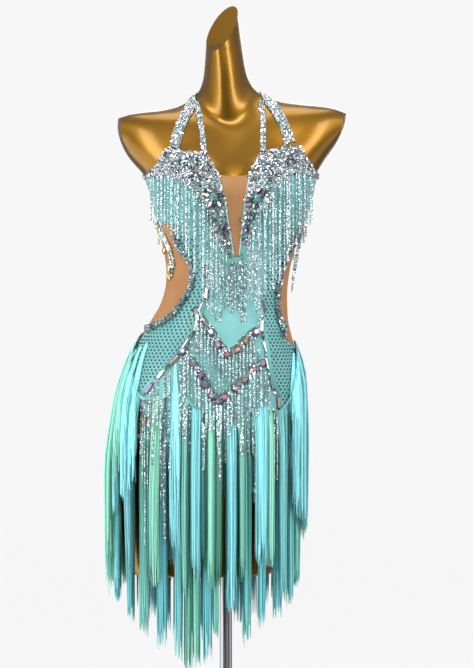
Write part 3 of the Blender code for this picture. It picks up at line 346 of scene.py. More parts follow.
# beads threaded close together on every path
def makeBeadTree():
    tree, given = startTree("threadBeads", {**stoneSockets, "Pitch": "Float", "Size": "Vector"})
    curve = addNode(tree, "GeometryNodeMeshToCurve", {0: given["Geometry"]})[0]
    spaced = addNode(tree, "GeometryNodeResampleCurve", {"Curve": curve, "Length": given["Pitch"]},
                     mode="LENGTH")[0]
    tangent = addNode(tree, "GeometryNodeInputTangent")[0]
    facing = addNode(tree, "FunctionNodeAlignRotationToVector", {"Vector": tangent}, axis="Z")[0]
    return stonesOn(tree, given, spaced, facing, given["Size"])


# round threads along every path, as thick as the path's own attribute
def makeThreadTree():
    tree, given = startTree("spinThreads", {"Sides": "Int"})
    curve = addNode(tree, "GeometryNodeMeshToCurve", {0: given["Geometry"]})[0]
    section = addNode(tree, "GeometryNodeCurvePrimitiveCircle",
                      {"Resolution": given["Sides"], "Radius": 1.0})[0]
    tube = addNode(tree, "GeometryNodeCurveToMesh",
                   {"Curve": curve, "Profile Curve": section, "Scale": named(tree, "thick", "FLOAT"),
                    "Fill Caps": True})[0]
    return endTree(tree, given, tube, smooth=True)


setTree = makeSetTree()
strewTree = makeStrewTree()
beadTree = makeBeadTree()
threadTree = makeThreadTree()


def addPiece(name, mesh, replaced):
    # a finished piece of the object, fixed to the one body
    piece = addObject(name, mesh)
    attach(piece, "root")
    if replaced:
        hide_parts(*replaced)
    return piece


def joinPiece(name, meshes, replaced=()):
    # several meshes, each with its own material, as one piece
    parts = [addObject(name, mesh) for mesh in meshes]
    with bpy.context.temp_override(active_object=parts[0], selected_editable_objects=parts):
        bpy.ops.object.join()
    mesh = parts[0].data.copy()
    bpy.data.objects.remove(parts[0])
    mesh.calc_loop_triangles()
    print("  %s: %d triangles" % (name, len(mesh.loop_triangles)))
    return addPiece(name, mesh, replaced)


def meshFrom(bm, name):
    mesh = bpy.data.meshes.new(name)
    bm.to_mesh(mesh)
    bm.free()
    return mesh


def worked(holder):
    # what the holder's modifier makes of its mesh, kept as a plain mesh
    bpy.context.view_layer.update()
    grown = holder.evaluated_get(bpy.context.evaluated_depsgraph_get())
    mesh = bpy.data.meshes.new_from_object(grown)
    bpy.data.objects.remove(holder)
    return mesh


def grow(source, tree, **values):
    holder = addObject(source.name, source)
    modifier = holder.modifiers.new("grow", "NODES")
    modifier.node_group = tree
    for item in tree.interface.items_tree:
        if item.in_out == "INPUT" and item.name in values:
            modifier[item.identifier] = values[item.name]
    return worked(holder)


def loft(name, rings):
    # a closed solid through rings of as many points each
    bm = bmesh.new()
    rows = [[bm.verts.new(point) for point in ring] for ring in rings]
    for low, high in zip(rows, rows[1:]):
        for n, m in enumerate([*range(1, len(low)), 0]):
            bm.faces.new((low[n], low[m], high[m], high[n]))
    bm.faces.new(reversed(rows[0]))
    bm.faces.new(rows[-1])
    return meshFrom(bm, name)


def circle(count, radius, broad=1.0):
    turns = [2 * math.pi * n / count for n in range(count)]
    return [(radius * math.cos(a), radius * broad * math.sin(a)) for a in turns]


def pointedOval(count, broad):
    # pointed at both ends
    upper = [(0.5 - n / count, 0.5 * broad * math.sin(math.pi * n / count)) for n in range(count)]
    return upper + [(-x, -y) for x, y in upper]


# stone shapes, one unit across, cut with a flat table: outline, table, girdle and top
cuts = {
    "round": (circle(7, 0.5), 0.55, 0.12, 0.36),
    "oval": (circle(10, 0.5, 0.74), 0.55, 0.12, 0.34),
    "leaf": (pointedOval(4, 0.42), 0.45, 0.07, 0.24),
    "baguette": ([(0.5, 0.10), (0.42, 0.15), (-0.42, 0.15), (-0.5, 0.10),
                  (-0.5, -0.10), (-0.42, -0.15), (0.42, -0.15), (0.5, -0.10)], 0.72, 0.06, 0.17),
    "drop": ([(0.5, 0.0), (0.2, 0.17), (-0.15, 0.26), (-0.42, 0.2), (-0.5, 0.0),
              (-0.42, -0.2), (-0.15, -0.26), (0.2, -0.17)], 0.5, 0.10, 0.30),
    "bead": (circle(6, 0.5), 0.62, 0.30, 0.85),
}


def makeStone(name, outline, table, girdle, top):
    rings = [[(x * scale, y * scale, height) for x, y in outline]
             for scale, height in ((0.92, 0.0), (1.0, girdle), (table, top))]
    mesh = loft(name + "Stone", rings)
    count = len(outline)
    # how much of each face escapes the painted shade: the table 1, the crown 0.3, the sides and base none
    bright = mesh.attributes.new("table", "FLOAT", "FACE")
    bright.data.foreach_set("value", [0.0] * count + [0.3] * count + [0.0, 1.0])
    return bpy.data.objects.new(name + "Stone", mesh)


stoneShapes = {name: makeStone(name, *cut) for name, cut in cuts.items()}


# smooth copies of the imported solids
def mergedCopy(nodeName):
    bm = bmesh.new()
    bm.from_mesh(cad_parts[nodeName].data)
    bmesh.ops.remove_doubles(bm, verts=bm.verts, dist=0.02 * mm)
    bm.normal_update()
    return bm


cornerAngle = math.radians(42)


def roundOff(bm, name, levels, sharpAngle=cornerAngle, flatCut=None):
    # pairs the triangles up again, keeps the real corners and rounds the rest
    bmesh.ops.join_triangles(bm, faces=bm.faces, angle_face_threshold=math.radians(40),
                             angle_shape_threshold=math.radians(75))
    bm.normal_update()
    crease = bm.edges.layers.float.get("crease_edge") or bm.edges.layers.float.new("crease_edge")
    for edge in bm.edges:
        if not edge.is_manifold:
            continue
        onCut = [face.normal.dot(flatCut) > 0.99 for face in edge.link_faces] if flatCut else []
        if edge.calc_face_angle(0.0) > cornerAngle or sum(onCut) == 1:
            edge[crease] = 1.0
    holder = addObject(name, meshFrom(bm, name))
    rounded = holder.modifiers.new("round", "SUBSURF")
    rounded.levels = rounded.render_levels = levels
    smooth = worked(holder)
    smooth.shade_smooth()
    smooth.set_sharp_from_angle(angle=sharpAngle)
    return smooth


def takeMaterial(mesh, material):
    mesh.materials.clear()
    mesh.materials.append(material)
    return mesh


def treeOf(*meshes):
    bm = bmesh.new()
    for mesh in meshes:
        bm.from_mesh(mesh)
    bmesh.ops.triangulate(bm, faces=bm.faces)
    tree = BVHTree.FromBMesh(bm)
    bm.free()
    return tree


# the form: glossy all over but for the flat cut of its neck
cutAbove = 1.58


def addForm():
    bm = mergedCopy("dress_form")
    cut = max(bm.faces, key=lambda face: face.calc_center_median().z).normal.copy()
    mesh = takeMaterial(roundOff(bm, "dressForm", 2, math.radians(18), cut), gold)
    mesh.materials.append(dullGold)
    for polygon in mesh.polygons:
        if polygon.normal.dot(cut) > 0.995 and polygon.center.z > cutAbove:
            polygon.material_index = 1
    return addPiece("dressForm", mesh, ["dress_form"])


formMesh = addForm().data
formTree = treeOf(formMesh)
print("form ready")


# the stand: a turned base and a tube
stand = {"sides": 96, "edge": 2 * mm, "plate": 9 * mm, "hub": 24 * mm, "chamfer": 0.3}


def addTurned(name, profile, node):
    rings = [[(x, y, height) for x, y in circle(stand["sides"], radius)] for radius, height in profile]
    mesh = loft(name, rings)
    mesh.shade_smooth()
    mesh.set_sharp_from_angle(angle=math.radians(35))
    addPiece(name, takeMaterial(mesh, chrome), [node])


def roundedRim(radius, top):
    edge, cut = stand["edge"], stand["edge"] * stand["chamfer"]
    return [(radius, top - edge), (radius - cut, top - cut), (radius - edge, top)]


def addStand():
    (baseLow, baseHigh), (poleLow, poleHigh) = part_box("stand_base"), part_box("stand_pole")
    rim, tube = (baseHigh.x - baseLow.x) / 2, (poleHigh.x - poleLow.x) / 2
    plate, hub = stand["plate"], stand["hub"]
    addTurned("standBase", [(rim, baseLow.z), *roundedRim(rim, plate), (hub, plate),
                            *roundedRim(hub, baseHigh.z)], "stand_base")
    addTurned("standPole", [(tube, poleLow.z), (tube, poleHigh.z)], "stand_pole")


addStand()


# cloth pieces: the cut of each, flat, as width and length
clothPieces = {
    "frontPanel": (0.260, 0.450), "hipPanelLeft": (0.190, 0.345), "hipPanelRight": (0.150, 0.350),
    "backPanel": (0.440, 0.370), "backBand": (0.360, 0.070), "cupLeft": (0.240, 0.210),
    "cupRight": (0.240, 0.210), "sideNetLeft": (0.290, 0.240), "sideNetRight": (0.290, 0.250),
    "necklineInsert": (0.060, 0.150), "strapOuterLeft": (0.018, 0.240), "strapOuterRight": (0.018, 0.240),
    "strapInnerLeft": (0.010, 0.120), "strapInnerRight": (0.010, 0.120), "neckBand": (0.018, 0.045),
}
netPieces = ("sideNetLeft", "sideNetRight", "necklineInsert")
pointRise = (1.8 * mm, 3.2 * mm)


def flattenStones(bm):
    # takes the raised points out of a stoned wall, since real stones go there
    raised = []
    for vert in bm.verts:
        if len(vert.link_edges) == len(vert.link_faces) == 4:
            rise = vert.co - sum((edge.other_vert(vert).co for edge in vert.link_edges), Vector()) / 4
            if pointRise[0] < rise.length < pointRise[1] and rise.normalized().dot(vert.normal) > 0.97:
                raised.append(vert)
    bmesh.ops.dissolve_verts(bm, verts=raised)
    bm.normal_update()
    return bm


def smoothCopy(nodeName, name, levels, finish):
    return takeMaterial(roundOff(flattenStones(mergedCopy(nodeName)), name, levels), finish)


def solidName(name):
    # frontPanel stands for the solid front_panel, veeFringeUpper for v_fringe_upper
    name = name.replace("vee", "v")
    return "".join("_" + letter.lower() if letter.isupper() else letter for letter in name)


def solidsOf(names):
    return [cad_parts[solidName(name)].data for name in names]


def addClothPieces():
    made = {}
    for name, (width, length) in clothPieces.items():
        finish, slot = (skinNet, "skin_net") if name in netPieces else (aquaCloth, "aqua_stretch")
        mesh = smoothCopy(solidName(name), name, 2, finish)
        made[name] = addPiece(name, mesh, [solidName(name)])
    return made


cloth = addClothPieces()


def coverTree(*more):
    return treeOf(formMesh, *[piece.data for piece in cloth.values()], *more)


allTree = coverTree()
print("cloth ready")

# design lines, seen from the front as x and height
lines = {
    "edgeLeft": [(-0.031, 1.376), (-0.0134, 1.342), (-0.002, 1.306), (0.0045, 1.266), (0.011, 1.229),
                 (0.0155, 1.199)],
    "edgeRight": [(0.056, 1.374), (0.0415, 1.342), (0.0335, 1.296), (0.029, 1.263), (0.0256, 1.232),
                  (0.0225, 1.199)],
    "hemLeft": [(-0.128, 1.342), (-0.106, 1.343), (-0.080, 1.330), (-0.058, 1.314), (-0.036, 1.286),
                (-0.022, 1.255), (-0.008, 1.226), (0.004, 1.204)],
    "hemRight": [(0.0375, 1.222), (0.046, 1.244), (0.060, 1.268), (0.073, 1.292), (0.092, 1.325),
                 (0.110, 1.340), (0.132, 1.348), (0.150, 1.343)],
    "veeUpper": [(-0.050, 1.102), (-0.042, 1.086), (-0.0256, 1.0655), (-0.0125, 1.043), (0.0035, 1.0265),
                 (0.0204, 1.035), (0.033, 1.0505), (0.0505, 1.0655)],
    "veeLower": [(-0.0735, 1.033), (-0.056, 1.0114), (-0.043, 0.9915), (-0.0347, 0.974), (-0.024, 0.955),
                 (-0.0134, 0.9455), (-0.002, 0.953), (0.0173, 0.9687), (0.032, 0.983), (0.047, 1.002),
                 (0.062, 1.011)],
}
fineStep = 1.5 * mm


def frontSpot(x, height, lift, tree=allTree):
    # the first thing met from the front, and its normal
    place, normal = tree.ray_cast(Vector((x, -1.0, height)), inward)[:2]
    if place is None:
        return None
    if normal.y > 0:
        normal = -normal
    return place + normal * lift, normal


def seatRow(line, pitch, lift, aside, size=None):
    # evenly spaced seats on the cloth along a line: place, way out, way along, size
    fine = []
    for (x0, z0), (x1, z1) in zip(line, line[1:]):
        count = max(2, round(math.hypot(x1 - x0, z1 - z0) / fineStep))
        run = Vector((x1 - x0, 0.0, z1 - z0)).normalized()
        fine += [frontSpot(x0 + (x1 - x0) * k / count - run.z * aside,
                           z0 + (z1 - z0) * k / count + run.x * aside, lift) for k in range(count)]
    fine = [spot for spot in fine if spot]
    seats, walked = [], 0.0
    for (here, out), (after, _) in zip(fine, fine[1:]):
        step = (after - here).length
        while walked <= step:
            seats.append((here.lerp(after, walked / max(step, 1e-9)), out, (after - here).normalized(), size))
            walked += pitch
        walked -= step
    return seats


def readLine(line, x):
    for (x0, z0), (x1, z1) in zip(line, line[1:]):
        if x <= x1:
            return z0 + (z1 - z0) * max(0.0, (x - x0) / (x1 - x0))
    return line[-1][1]


def setStones(spots, shape, finish, tilt, seed):
    # spots are (place, way out, way along, size on each side)
    source = bpy.data.meshes.new("stoneSeats")
    source.from_pydata([spot[0] for spot in spots], [], [])
    for column, label in ((1, "out"), (2, "along"), (3, "size")):
        layer = source.attributes.new(label, "FLOAT_VECTOR", "POINT")
        layer.data.foreach_set("vector", [n for spot in spots for n in spot[column]])
    return grow(source, setTree, Shape=stoneShapes[shape], Tilt=tilt, Seed=seed, Finish=finish)


def strewStones(mesh, wanted, shape, finish, gap, size, tilt, seed):
    # wanted(centre, normal) tells which faces get stones
    bm = bmesh.new()
    bm.from_mesh(mesh)
    bm.normal_update()
    bare = [face for face in bm.faces if not wanted(face.calc_center_median(), face.normal)]
    bmesh.ops.delete(bm, geom=bare, context="FACES")
    return grow(meshFrom(bm, "stonedFaces"), strewTree, Shape=stoneShapes[shape], Tilt=tilt, Seed=seed,
                Finish=finish, Gap=gap, Size=size)


def square(side):
    return (side, side, side)


outward = 0.35


def facesOut(centre, normal):
    return normal.dot(formTree.find_nearest(centre)[1]) > outward


# fringe, strand by strand as the solids have it
stations = 12
steps = [k / stations for k in range(stations + 1)]
level = 0.01 * mm
axisDepth = 6 * mm
formFoot, skirtMiddle = 0.70, 0.80
rootShare = 0.85  # a strand's end is this much as wide as its root


def axisAt(height):
    # the middle of the form at a height
    ends = [formTree.ray_cast(Vector((-way, axisDepth, height)), across * way)[0] for way in (1.0, -1.0)]
    return Vector((sum(end.x if end else 0.0 for end in ends) / 2, axisDepth, height))


def middleOf(ring):
    return sum((corner.co for corner in ring), Vector()) / 4


def matchRing(reference, ring):
    # the ring's corners in the order that lies nearest to the reference's
    middle, centre = middleOf(reference), middleOf(ring)
    return min(itertools.permutations(ring),
               key=lambda order: sum(((a.co - middle) - (b.co - centre)).length
                                     for a, b in zip(reference, order)))


def orderRing(ring):
    # inner, outer, outer, inner
    centre = middleOf(ring)
    ring = sorted(ring, key=lambda corner: math.atan2(corner.co.y - centre.y, corner.co.x - centre.x))
    out = centre - axisAt(max(centre.z, formFoot))
    out.z = 0.0

    def outwardness(k):
        inner, outer, nextOuter, nextInner = [corner.co for corner in ring[k:] + ring[:k]]
        return (outer - inner + nextOuter - nextInner).normalized().dot(out)

    first = max(range(4), key=outwardness)
    return ring[first:] + ring[:first]


def sameHeight(vert):
    # the corners joined to this one at its own height
    ring, fresh = {vert}, [vert]
    while fresh:
        for edge in fresh.pop().link_edges:
            for corner in edge.verts:
                if corner not in ring and abs(corner.co.z - vert.co.z) < level:
                    ring.add(corner)
                    fresh.append(corner)
    return ring


def readFringe(nodeName):
    # takes the strands off their strip; returns both
    bm = mergedCopy(nodeName)
    strands, loose, seen = [], [], set()
    for vert in bm.verts:
        if vert in seen or any(edge.other_vert(vert).co.z < vert.co.z - level for edge in vert.link_edges):
            continue
        rings = [orderRing(sameHeight(vert))]
        seen.update(rings[0])
        while len(rings) < 4:
            above = {corner for low in rings[-1] for edge in low.link_edges for corner in edge.verts}
            rings.append(matchRing(rings[-1], above.difference(*rings)))
        strands.append(makeStrand([[corner.co.copy() for corner in ring] for ring in reversed(rings)]))
        loose += rings
    bmesh.ops.delete(bm, geom=[corner for n, ring in enumerate(loose) if n % 4 != 3 for corner in ring],
                     context="VERTS")
    for root in loose[3::4]:
        bm.faces.new(root)
    bmesh.ops.recalc_face_normals(bm, faces=bm.faces)
    flattenStones(bm)
    return strands, takeMaterial(roundOff(bm, nodeName + "Strip", 1), aquaCloth)


def makeStrand(rings):
    # four corners at even steps down the strand, its bends eased
    middles = [sum(ring, Vector()) / 4 for ring in rings]
    lengths = [(b - a).length for a, b in zip(middles, middles[1:])]
    rows = []
    for k in range(stations + 1):
        along = sum(lengths) * k / stations
        n = 0
        while n < 2 and along > lengths[n]:
            along -= lengths[n]
            n += 1
        rows.append([a.lerp(b, min(1.0, along / lengths[n])) for a, b in zip(rings[n], rings[n + 1])])
    eased = [[(a + b * 2 + c) / 4 for a, b, c in zip(*three)] for three in zip(rows, rows[1:], rows[2:])]
    end = rings[-1]
    return {"rows": [rows[0], *eased, rows[-1]], "length": sum(lengths),
            "width": (end[3] - end[0]).length / rootShare, "depth": (end[1] - end[0]).length}


def strandSpot(strand, t, u, v):
    # t runs down the strand, u across it, v from its inner to its outer face
    k = max(0, min(stations - 1, int(t * stations)))
    corners = [a.lerp(b, t * stations - k) for a, b in zip(strand["rows"][k], strand["rows"][k + 1])]
    return corners[0].lerp(corners[3], u).lerp(corners[1].lerp(corners[2], u), v)


def pathMesh(paths):
    # each path is a list of places and a dictionary of attributes, one value a place
    places, edges, values = [], [], {}
    for path, attributes in paths:
        edges += [(len(places) + n, len(places) + n + 1) for n in range(len(path) - 1)]
        places += path
        for label, numbers in attributes.items():
            values.setdefault(label, []).extend(numbers)
    mesh = bpy.data.meshes.new("paths")
    mesh.from_pydata(places, edges, [])
    for label, numbers in values.items():
        mesh.attributes.new(label, "FLOAT", "POINT").data.foreach_set("value", numbers)
    return mesh


# bead fringe under a stoned root: a strand is three rows of beads side by side, and the number at each
# piece says that every first, second or third strand is a single row, or none is
beads = {"seed": 21, "pitch": 2.3 * mm, "size": (2.2 * mm, 2.2 * mm, 2.3 * mm), "apart": 0.34,
         "sway": 0.3, "ragged": 0.06, "tilt": 0.35, "rootGap": 2.9 * mm, "rootSize": square(3.8 * mm),
         "rootTilt": 0.4}
beadFringes = {"cupFringeLeft": 2, "cupFringeRight": 2, "sideFringeLeft": 0, "sideFringeRight": 0,
               "veeFringeUpper": 3, "veeFringeLower": 3, "dropFringeLeft": 1, "dropFringeRight": 1}
fringeEnds = {"dropFringeLeft": (0.60, 1.0, 0.66, 0.55)}


def threadBeads(paths, seed, pitch=beads["pitch"], size=beads["size"]):
    return grow(pathMesh([(path, {}) for path in paths]), beadTree, Shape=stoneShapes["bead"],
                Tilt=beads["tilt"], Seed=seed, Finish=silverBeads, Pitch=pitch, Size=size)


def rowOfBeads(strand, rng, single, end):
    sway = rng.uniform(-beads["sway"], beads["sway"])
    low = end - rng.uniform(0.0, beads["ragged"])
    apart = 0.0 if single else beads["apart"]
    down = [strandSpot(strand, t * low, 0.5 - apart + sway * t * t, 0.5) for t in steps]
    if single:
        return down
    up = [strandSpot(strand, t * low, 0.5 + sway * t * t, 0.9) for t in reversed(steps)]
    return down + up + [strandSpot(strand, t * low, 0.5 + apart + sway * t * t, 0.5) for t in steps]


def addBeadFringes():
    for seed, (name, every) in enumerate(beadFringes.items(), beads["seed"]):
        rng = random.Random(seed)
        strands, strip = readFringe(solidName(name))
        strands.sort(key=lambda strand: strand["rows"][0][0].x)
        ends = fringeEnds.get(name, (1.0,))
        paths = [rowOfBeads(strand, rng, every and n % every == every - 1, ends[n % len(ends)])
                 for n, strand in enumerate(strands)]
        roots = strewStones(strip, facesOut, "round", clearStones, beads["rootGap"], beads["rootSize"],
                            beads["rootTilt"], seed)
        joinPiece(name, [strip, roots, threadBeads(paths, seed)], [solidName(name)])


addBeadFringes()
print("bead fringe ready")


# thread fringe: locks of many threads, ragged at the ends
threads = {"seed": 31, "radius": 0.90 * mm, "tip": 0.35 * mm, "pitch": 1.75 * mm, "fewest": 12,
           "ragged": 0.15, "slant": 0.04, "reach": 1.02, "fullRagged": 0.26, "sway": 0.16, "wave": 0.014,
           "waves": 9, "flattened": 0.35, "backShade": 0.35, "edgeShade": 0.35, "toneSpread": 0.15}
skirts = {
    "skirtOverFront": {"tones": [0.55, 0.80, 0.85, 0.15, 0.05, 0.05, 0.95, 0.05, 0.75, 0.05, 0.65,
                                 1.0, 0.80, 0.05, 0.80, 0.05, 0.90, 0.20, 0.15, 0.05, 0.10, 0.20],
                       "shades": {8: 0.35, 10: 0.85, 12: 0.80, 14: 0.25, 17: 0.25, 18: 0.12, 19: 0.15,
                                  20: 0.15, 21: 0.2},
                       "puffs": {0: 1.9, 1: 1.9, 2: 1.6}},
    "skirtOverBack": {},
    "skirtUnderFront": {"shadow": 0.5,
                        "tones": [0.2, 0.7, 0.3, 0.1, 0.6, 0.15, 0.2, 0.9, 0.85, 0.2,
                                  0.8, 0.1, 0.5, 0.15, 0.2, 0.3, 0.8, 0.4]},
    "skirtUnderBack": {"shadow": 0.5},
}
looseTones = (0.05, 0.10, 0.15, 0.50, 0.85, 0.95)


def unit(value):
    return min(1.0, max(0.0, value))


def spinThreads(paths, finish, sides=3):
    return grow(pathMesh(paths), threadTree, Sides=sides, Finish=finish)


def lockSeats(strand, rng):
    # places all round the lock's section and a few in its middle
    wide, deep = strand["width"], strand["depth"]
    around = 2 * (wide + deep)
    count = max(threads["fewest"], round(around / threads["pitch"]))
    seats = []
    for n in range(count):
        walk = around * (n + rng.uniform(-0.35, 0.35)) / count % around
        if walk < wide:
            seats.append((walk / wide, 1.0))
        elif walk < wide + deep:
            seats.append((1.0, 1.0 - (walk - wide) / deep))
        elif walk < 2 * wide + deep:
            seats.append((1.0 - (walk - wide - deep) / wide, 0.0))
        else:
            seats.append((0.0, (walk - 2 * wide - deep) / deep))
    return seats + [(rng.uniform(0.15, 0.85), rng.uniform(0.2, 0.8)) for _ in range(count // 3)]


def lockThreads(strand, tone, shade, shadow, puff, rng):
    paths = []
    slant = rng.uniform(-1, 1) * threads["slant"]
    for u, v in lockSeats(strand, rng):
        v = 0.5 + (v - 0.5) * (1.0 - threads["flattened"] * abs(2 * u - 1) ** 3) * rng.uniform(0.76, 1.04)
        u = 0.5 + (u - 0.5) * rng.uniform(0.92, 1.06)
        short = threads["ragged"] * rng.random() ** 1.4 + slant * (2 * u - 1)
        low = threads["reach"] - short * min(1.0, threads["fullRagged"] / strand["length"])
        drift, turn = rng.uniform(-1, 1) * threads["sway"], rng.uniform(0.0, anyTurn)
        path = []
        for k in range(stations + 1):
            t = low * k / stations
            aside = threads["wave"] * math.sin(turn + t * threads["waves"]) + drift * t ** 4
            path.append(strandSpot(strand, t, u + aside, v * (1.0 + (puff - 1.0) * min(1.0, t * 4))))
        ownTone = unit(tone + rng.uniform(-threads["toneSpread"], threads["toneSpread"]))
        ownShade = (shade + (1.0 - v) * threads["backShade"] + abs(2 * u - 1) ** 4 * threads["edgeShade"]
                    + rng.choice((-0.05, 0.0, 0.12, 0.45)))
        paths.append((path, {"thick": [threads["radius"]] * stations + [threads["tip"]],
                             "tone": [ownTone] * len(path),
                             "shade": [unit(ownShade + shadow * (1.0 - t) ** 0.7) for t in steps]}))
    return paths


def addSkirts():
    axis = axisAt(skirtMiddle)
    for seed, (name, skirt) in enumerate(skirts.items(), threads["seed"]):
        rng = random.Random(seed)
        strands, strip = readFringe(solidName(name))
        over = "Over" in name
        behind = -1.0 if name.endswith("Back") else 1.0
        strands.sort(key=lambda strand: math.atan2(strand["rows"][0][0].x - axis.x,
                                                   behind * (axis.y - strand["rows"][0][0].y)))
        tones = skirt.get("tones") or [rng.choice(looseTones) for _ in strands]
        paths = []
        for n, (strand, tone) in enumerate(zip(strands, tones)):
            paths += lockThreads(strand, tone, skirt.get("shades", {}).get(n, 0.0), skirt.get("shadow", 0.0),
                                 skirt.get("puffs", {}).get(n, 1.0), rng)
        joinPiece(name, [strip, spinThreads(paths, overThread if over else shadedUnderThread)],
                  [solidName(name)])


addSkirts()
skirtTree = coverTree(*solidsOf(skirts))


def fallInFront(x, top, low, lift, tree):
    # a line that hangs straight down in front of whatever it passes
    path, front = [], 1.0
    for t in steps:
        height = top + (low - top) * t
        met = tree.ray_cast(Vector((x, -1.0, height)), inward)[0]
        if met is not None:
            front = min(front, met.y - lift)
        path.append(Vector((x, front, height)))
    return path


def evenThread(path, tone, shade):
    count = len(path)
    return path, {"thick": [threads["radius"]] * count, "tone": [tone] * count, "shade": [shade] * count}


# the innermost threads, in the shade against the form: x from, x to, top, lowest end
innerFalls = [(-0.152, -0.131, 0.905, 0.735), (-0.131, -0.014, 0.900, 0.640), (-0.014, 0.000, 0.900, 0.765),
              (0.010, 0.030, 0.895, 0.650), (0.036, 0.054, 0.900, 0.755), (0.090, 0.106, 0.895, 0.650),
              (0.104, 0.120, 0.965, 0.860)]
inner = {"pitch": 2.4 * mm, "lift": 2.0 * mm, "ragged": 0.03}


def addInnerFalls():
    rng = random.Random(35)
    paths = []
    for left, right, top, low in innerFalls:
        count = round((right - left) / inner["pitch"])
        for n in range(count):
            x = left + (right - left) * (n + rng.uniform(0.2, 0.8)) / count
            path = fallInFront(x, top, low + rng.uniform(0.0, inner["ragged"]), inner["lift"], formTree)
            paths.append(evenThread(path, rng.choice((0.3, 0.6, 0.8)), rng.uniform(0.6, 0.95)))
    joinPiece("skirtInner", [spinThreads(paths, shadedUnderThread)])


# threads that start on the hip and run out to the locks: from, to (x and height), tone, how many
hipThreads = [((-0.139, 1.047), (-0.165, 0.945), 0.05, 26), ((-0.150, 1.042), (-0.180, 0.945), 0.20, 26),
              ((-0.160, 1.036), (-0.194, 0.945), 0.75, 22), ((0.1200, 1.030), (0.1170, 0.930), 0.10, 14),
              ((0.1260, 1.026), (0.1270, 0.930), 0.05, 18), ((-0.088, 1.012), (-0.087, 0.935), 0.05, 34)]
hipFlow = {"start": 4 * mm, "widens": 9 * mm, "sag": 6 * mm, "swell": 1.5 * mm, "ragged": 0.17}


def addHipThreads():
    rng = random.Random(36)
    paths = []
    for (x0, z0), (x1, z1), tone, count in hipThreads:
        for n in range(count):
            spread = (n + rng.uniform(0.1, 0.9)) / count - 0.5
            low = z1 - rng.uniform(0.0, hipFlow["ragged"])
            path = []
            for share in steps:
                height = z0 + (low - z0) * share
                t = min(1.0, (z0 - height) / (z0 - z1))
                x = x0 + (x1 - x0) * t ** 0.8 + spread * (hipFlow["start"] + hipFlow["widens"] * t)
                height -= (1.0 - t) * abs(spread) * hipFlow["sag"]
                spot = frontSpot(x, height, rng.uniform(1.2, 1.6) * mm, skirtTree)
                if spot:
                    path.append(spot[0] - inward * hipFlow["swell"] * math.sin(math.pi * t))
            if len(path) > 3:
                shade = max(0.0, abs(2 * spread) ** 3 * 0.4 + rng.choice((-0.05, 0.0, 0.1, 0.35)))
                ownTone = unit(tone + rng.uniform(-threads["toneSpread"], threads["toneSpread"]))
                paths.append(evenThread(path, ownTone, shade))
    joinPiece("hipThreads", [spinThreads(paths, overThread)])


addInnerFalls()
addHipThreads()
print("thread fringe ready")


# single silver strands among the locks: x, top, lowest end
silverFalls = [(-0.120, 0.982, 0.900), (-0.060, 1.050, 1.000), (-0.052, 1.062, 1.030), (-0.046, 1.072, 1.030),
               (0.058, 1.035, 0.962), (0.064, 1.020, 0.952), (0.070, 1.000, 0.935), (0.076, 0.985, 0.930),
               (-0.149, 0.945, 0.850), (-0.127, 0.970, 0.834), (-0.133, 0.960, 0.895), (-0.113, 0.947, 0.775),
               (-0.107, 0.996, 0.700), (-0.0995, 1.004, 0.822), (-0.079, 1.030, 0.895),
               (-0.073, 1.036, 0.880), (-0.069, 0.940, 0.880), (-0.062, 0.935, 0.862),
               (-0.042, 0.922, 0.880), (-0.038, 0.905, 0.830), (-0.033, 0.922, 0.880),
               (-0.013, 0.914, 0.865), (-0.010, 0.880, 0.810), (-0.001, 0.948, 0.841),
               (0.006, 0.940, 0.895), (0.018, 0.940, 0.896), (0.027, 0.896, 0.852), (0.030, 0.940, 0.852),
               (0.040, 0.940, 0.857), (0.048, 0.948, 0.861), (0.051, 0.880, 0.773), (0.056, 0.940, 0.914)]
silver = {"aside": 1.1 * mm, "lift": 1.6 * mm, "ragged": 6 * mm}


def addSilverFalls():
    rng = random.Random(41)
    paths = []
    for x, top, low in silverFalls:
        for aside in (-silver["aside"], silver["aside"]):
            low += rng.uniform(-silver["ragged"], silver["ragged"])
            paths.append(fallInFront(x + aside, top, low, silver["lift"], skirtTree))
    joinPiece("silverFalls", [threadBeads(paths, seed=42)])


addSilverFalls()
print("silver strands ready")


# sprays of leaf stones beside the V, each round one stone: x, height and the leaves' length
sprays = {"centres": [(-0.022, 1.303, 20 * mm), (-0.009, 1.243, 16 * mm), (-0.062, 1.366, 14 * mm),
                      (-0.036, 1.357, 12 * mm), (-0.087, 1.361, 11 * mm), (-0.052, 1.337, 12 * mm),
                      (0.0558, 1.302, 20 * mm), (0.0425, 1.259, 16 * mm), (0.067, 1.357, 14 * mm),
                      (0.086, 1.366, 12 * mm), (0.112, 1.371, 12 * mm), (0.083, 1.336, 12 * mm)],
          "leaves": 11, "tall": 0.9, "out": 0.68, "lift": 3.2 * mm, "leafLift": 3.4 * mm,
          "eye": 5.5 * mm, "eyeLift": 1.2 * mm, "clear": 0.5, "darkEvery": 4, "singleLift": 1.8 * mm}
cups = {"bandFrom": 1.336, "above": 1 * mm, "below": 8 * mm}


def clearOfSprays(place):
    return all(math.hypot(place.x - x, place.z - height) > length * sprays["clear"]
               for x, height, length in sprays["centres"])


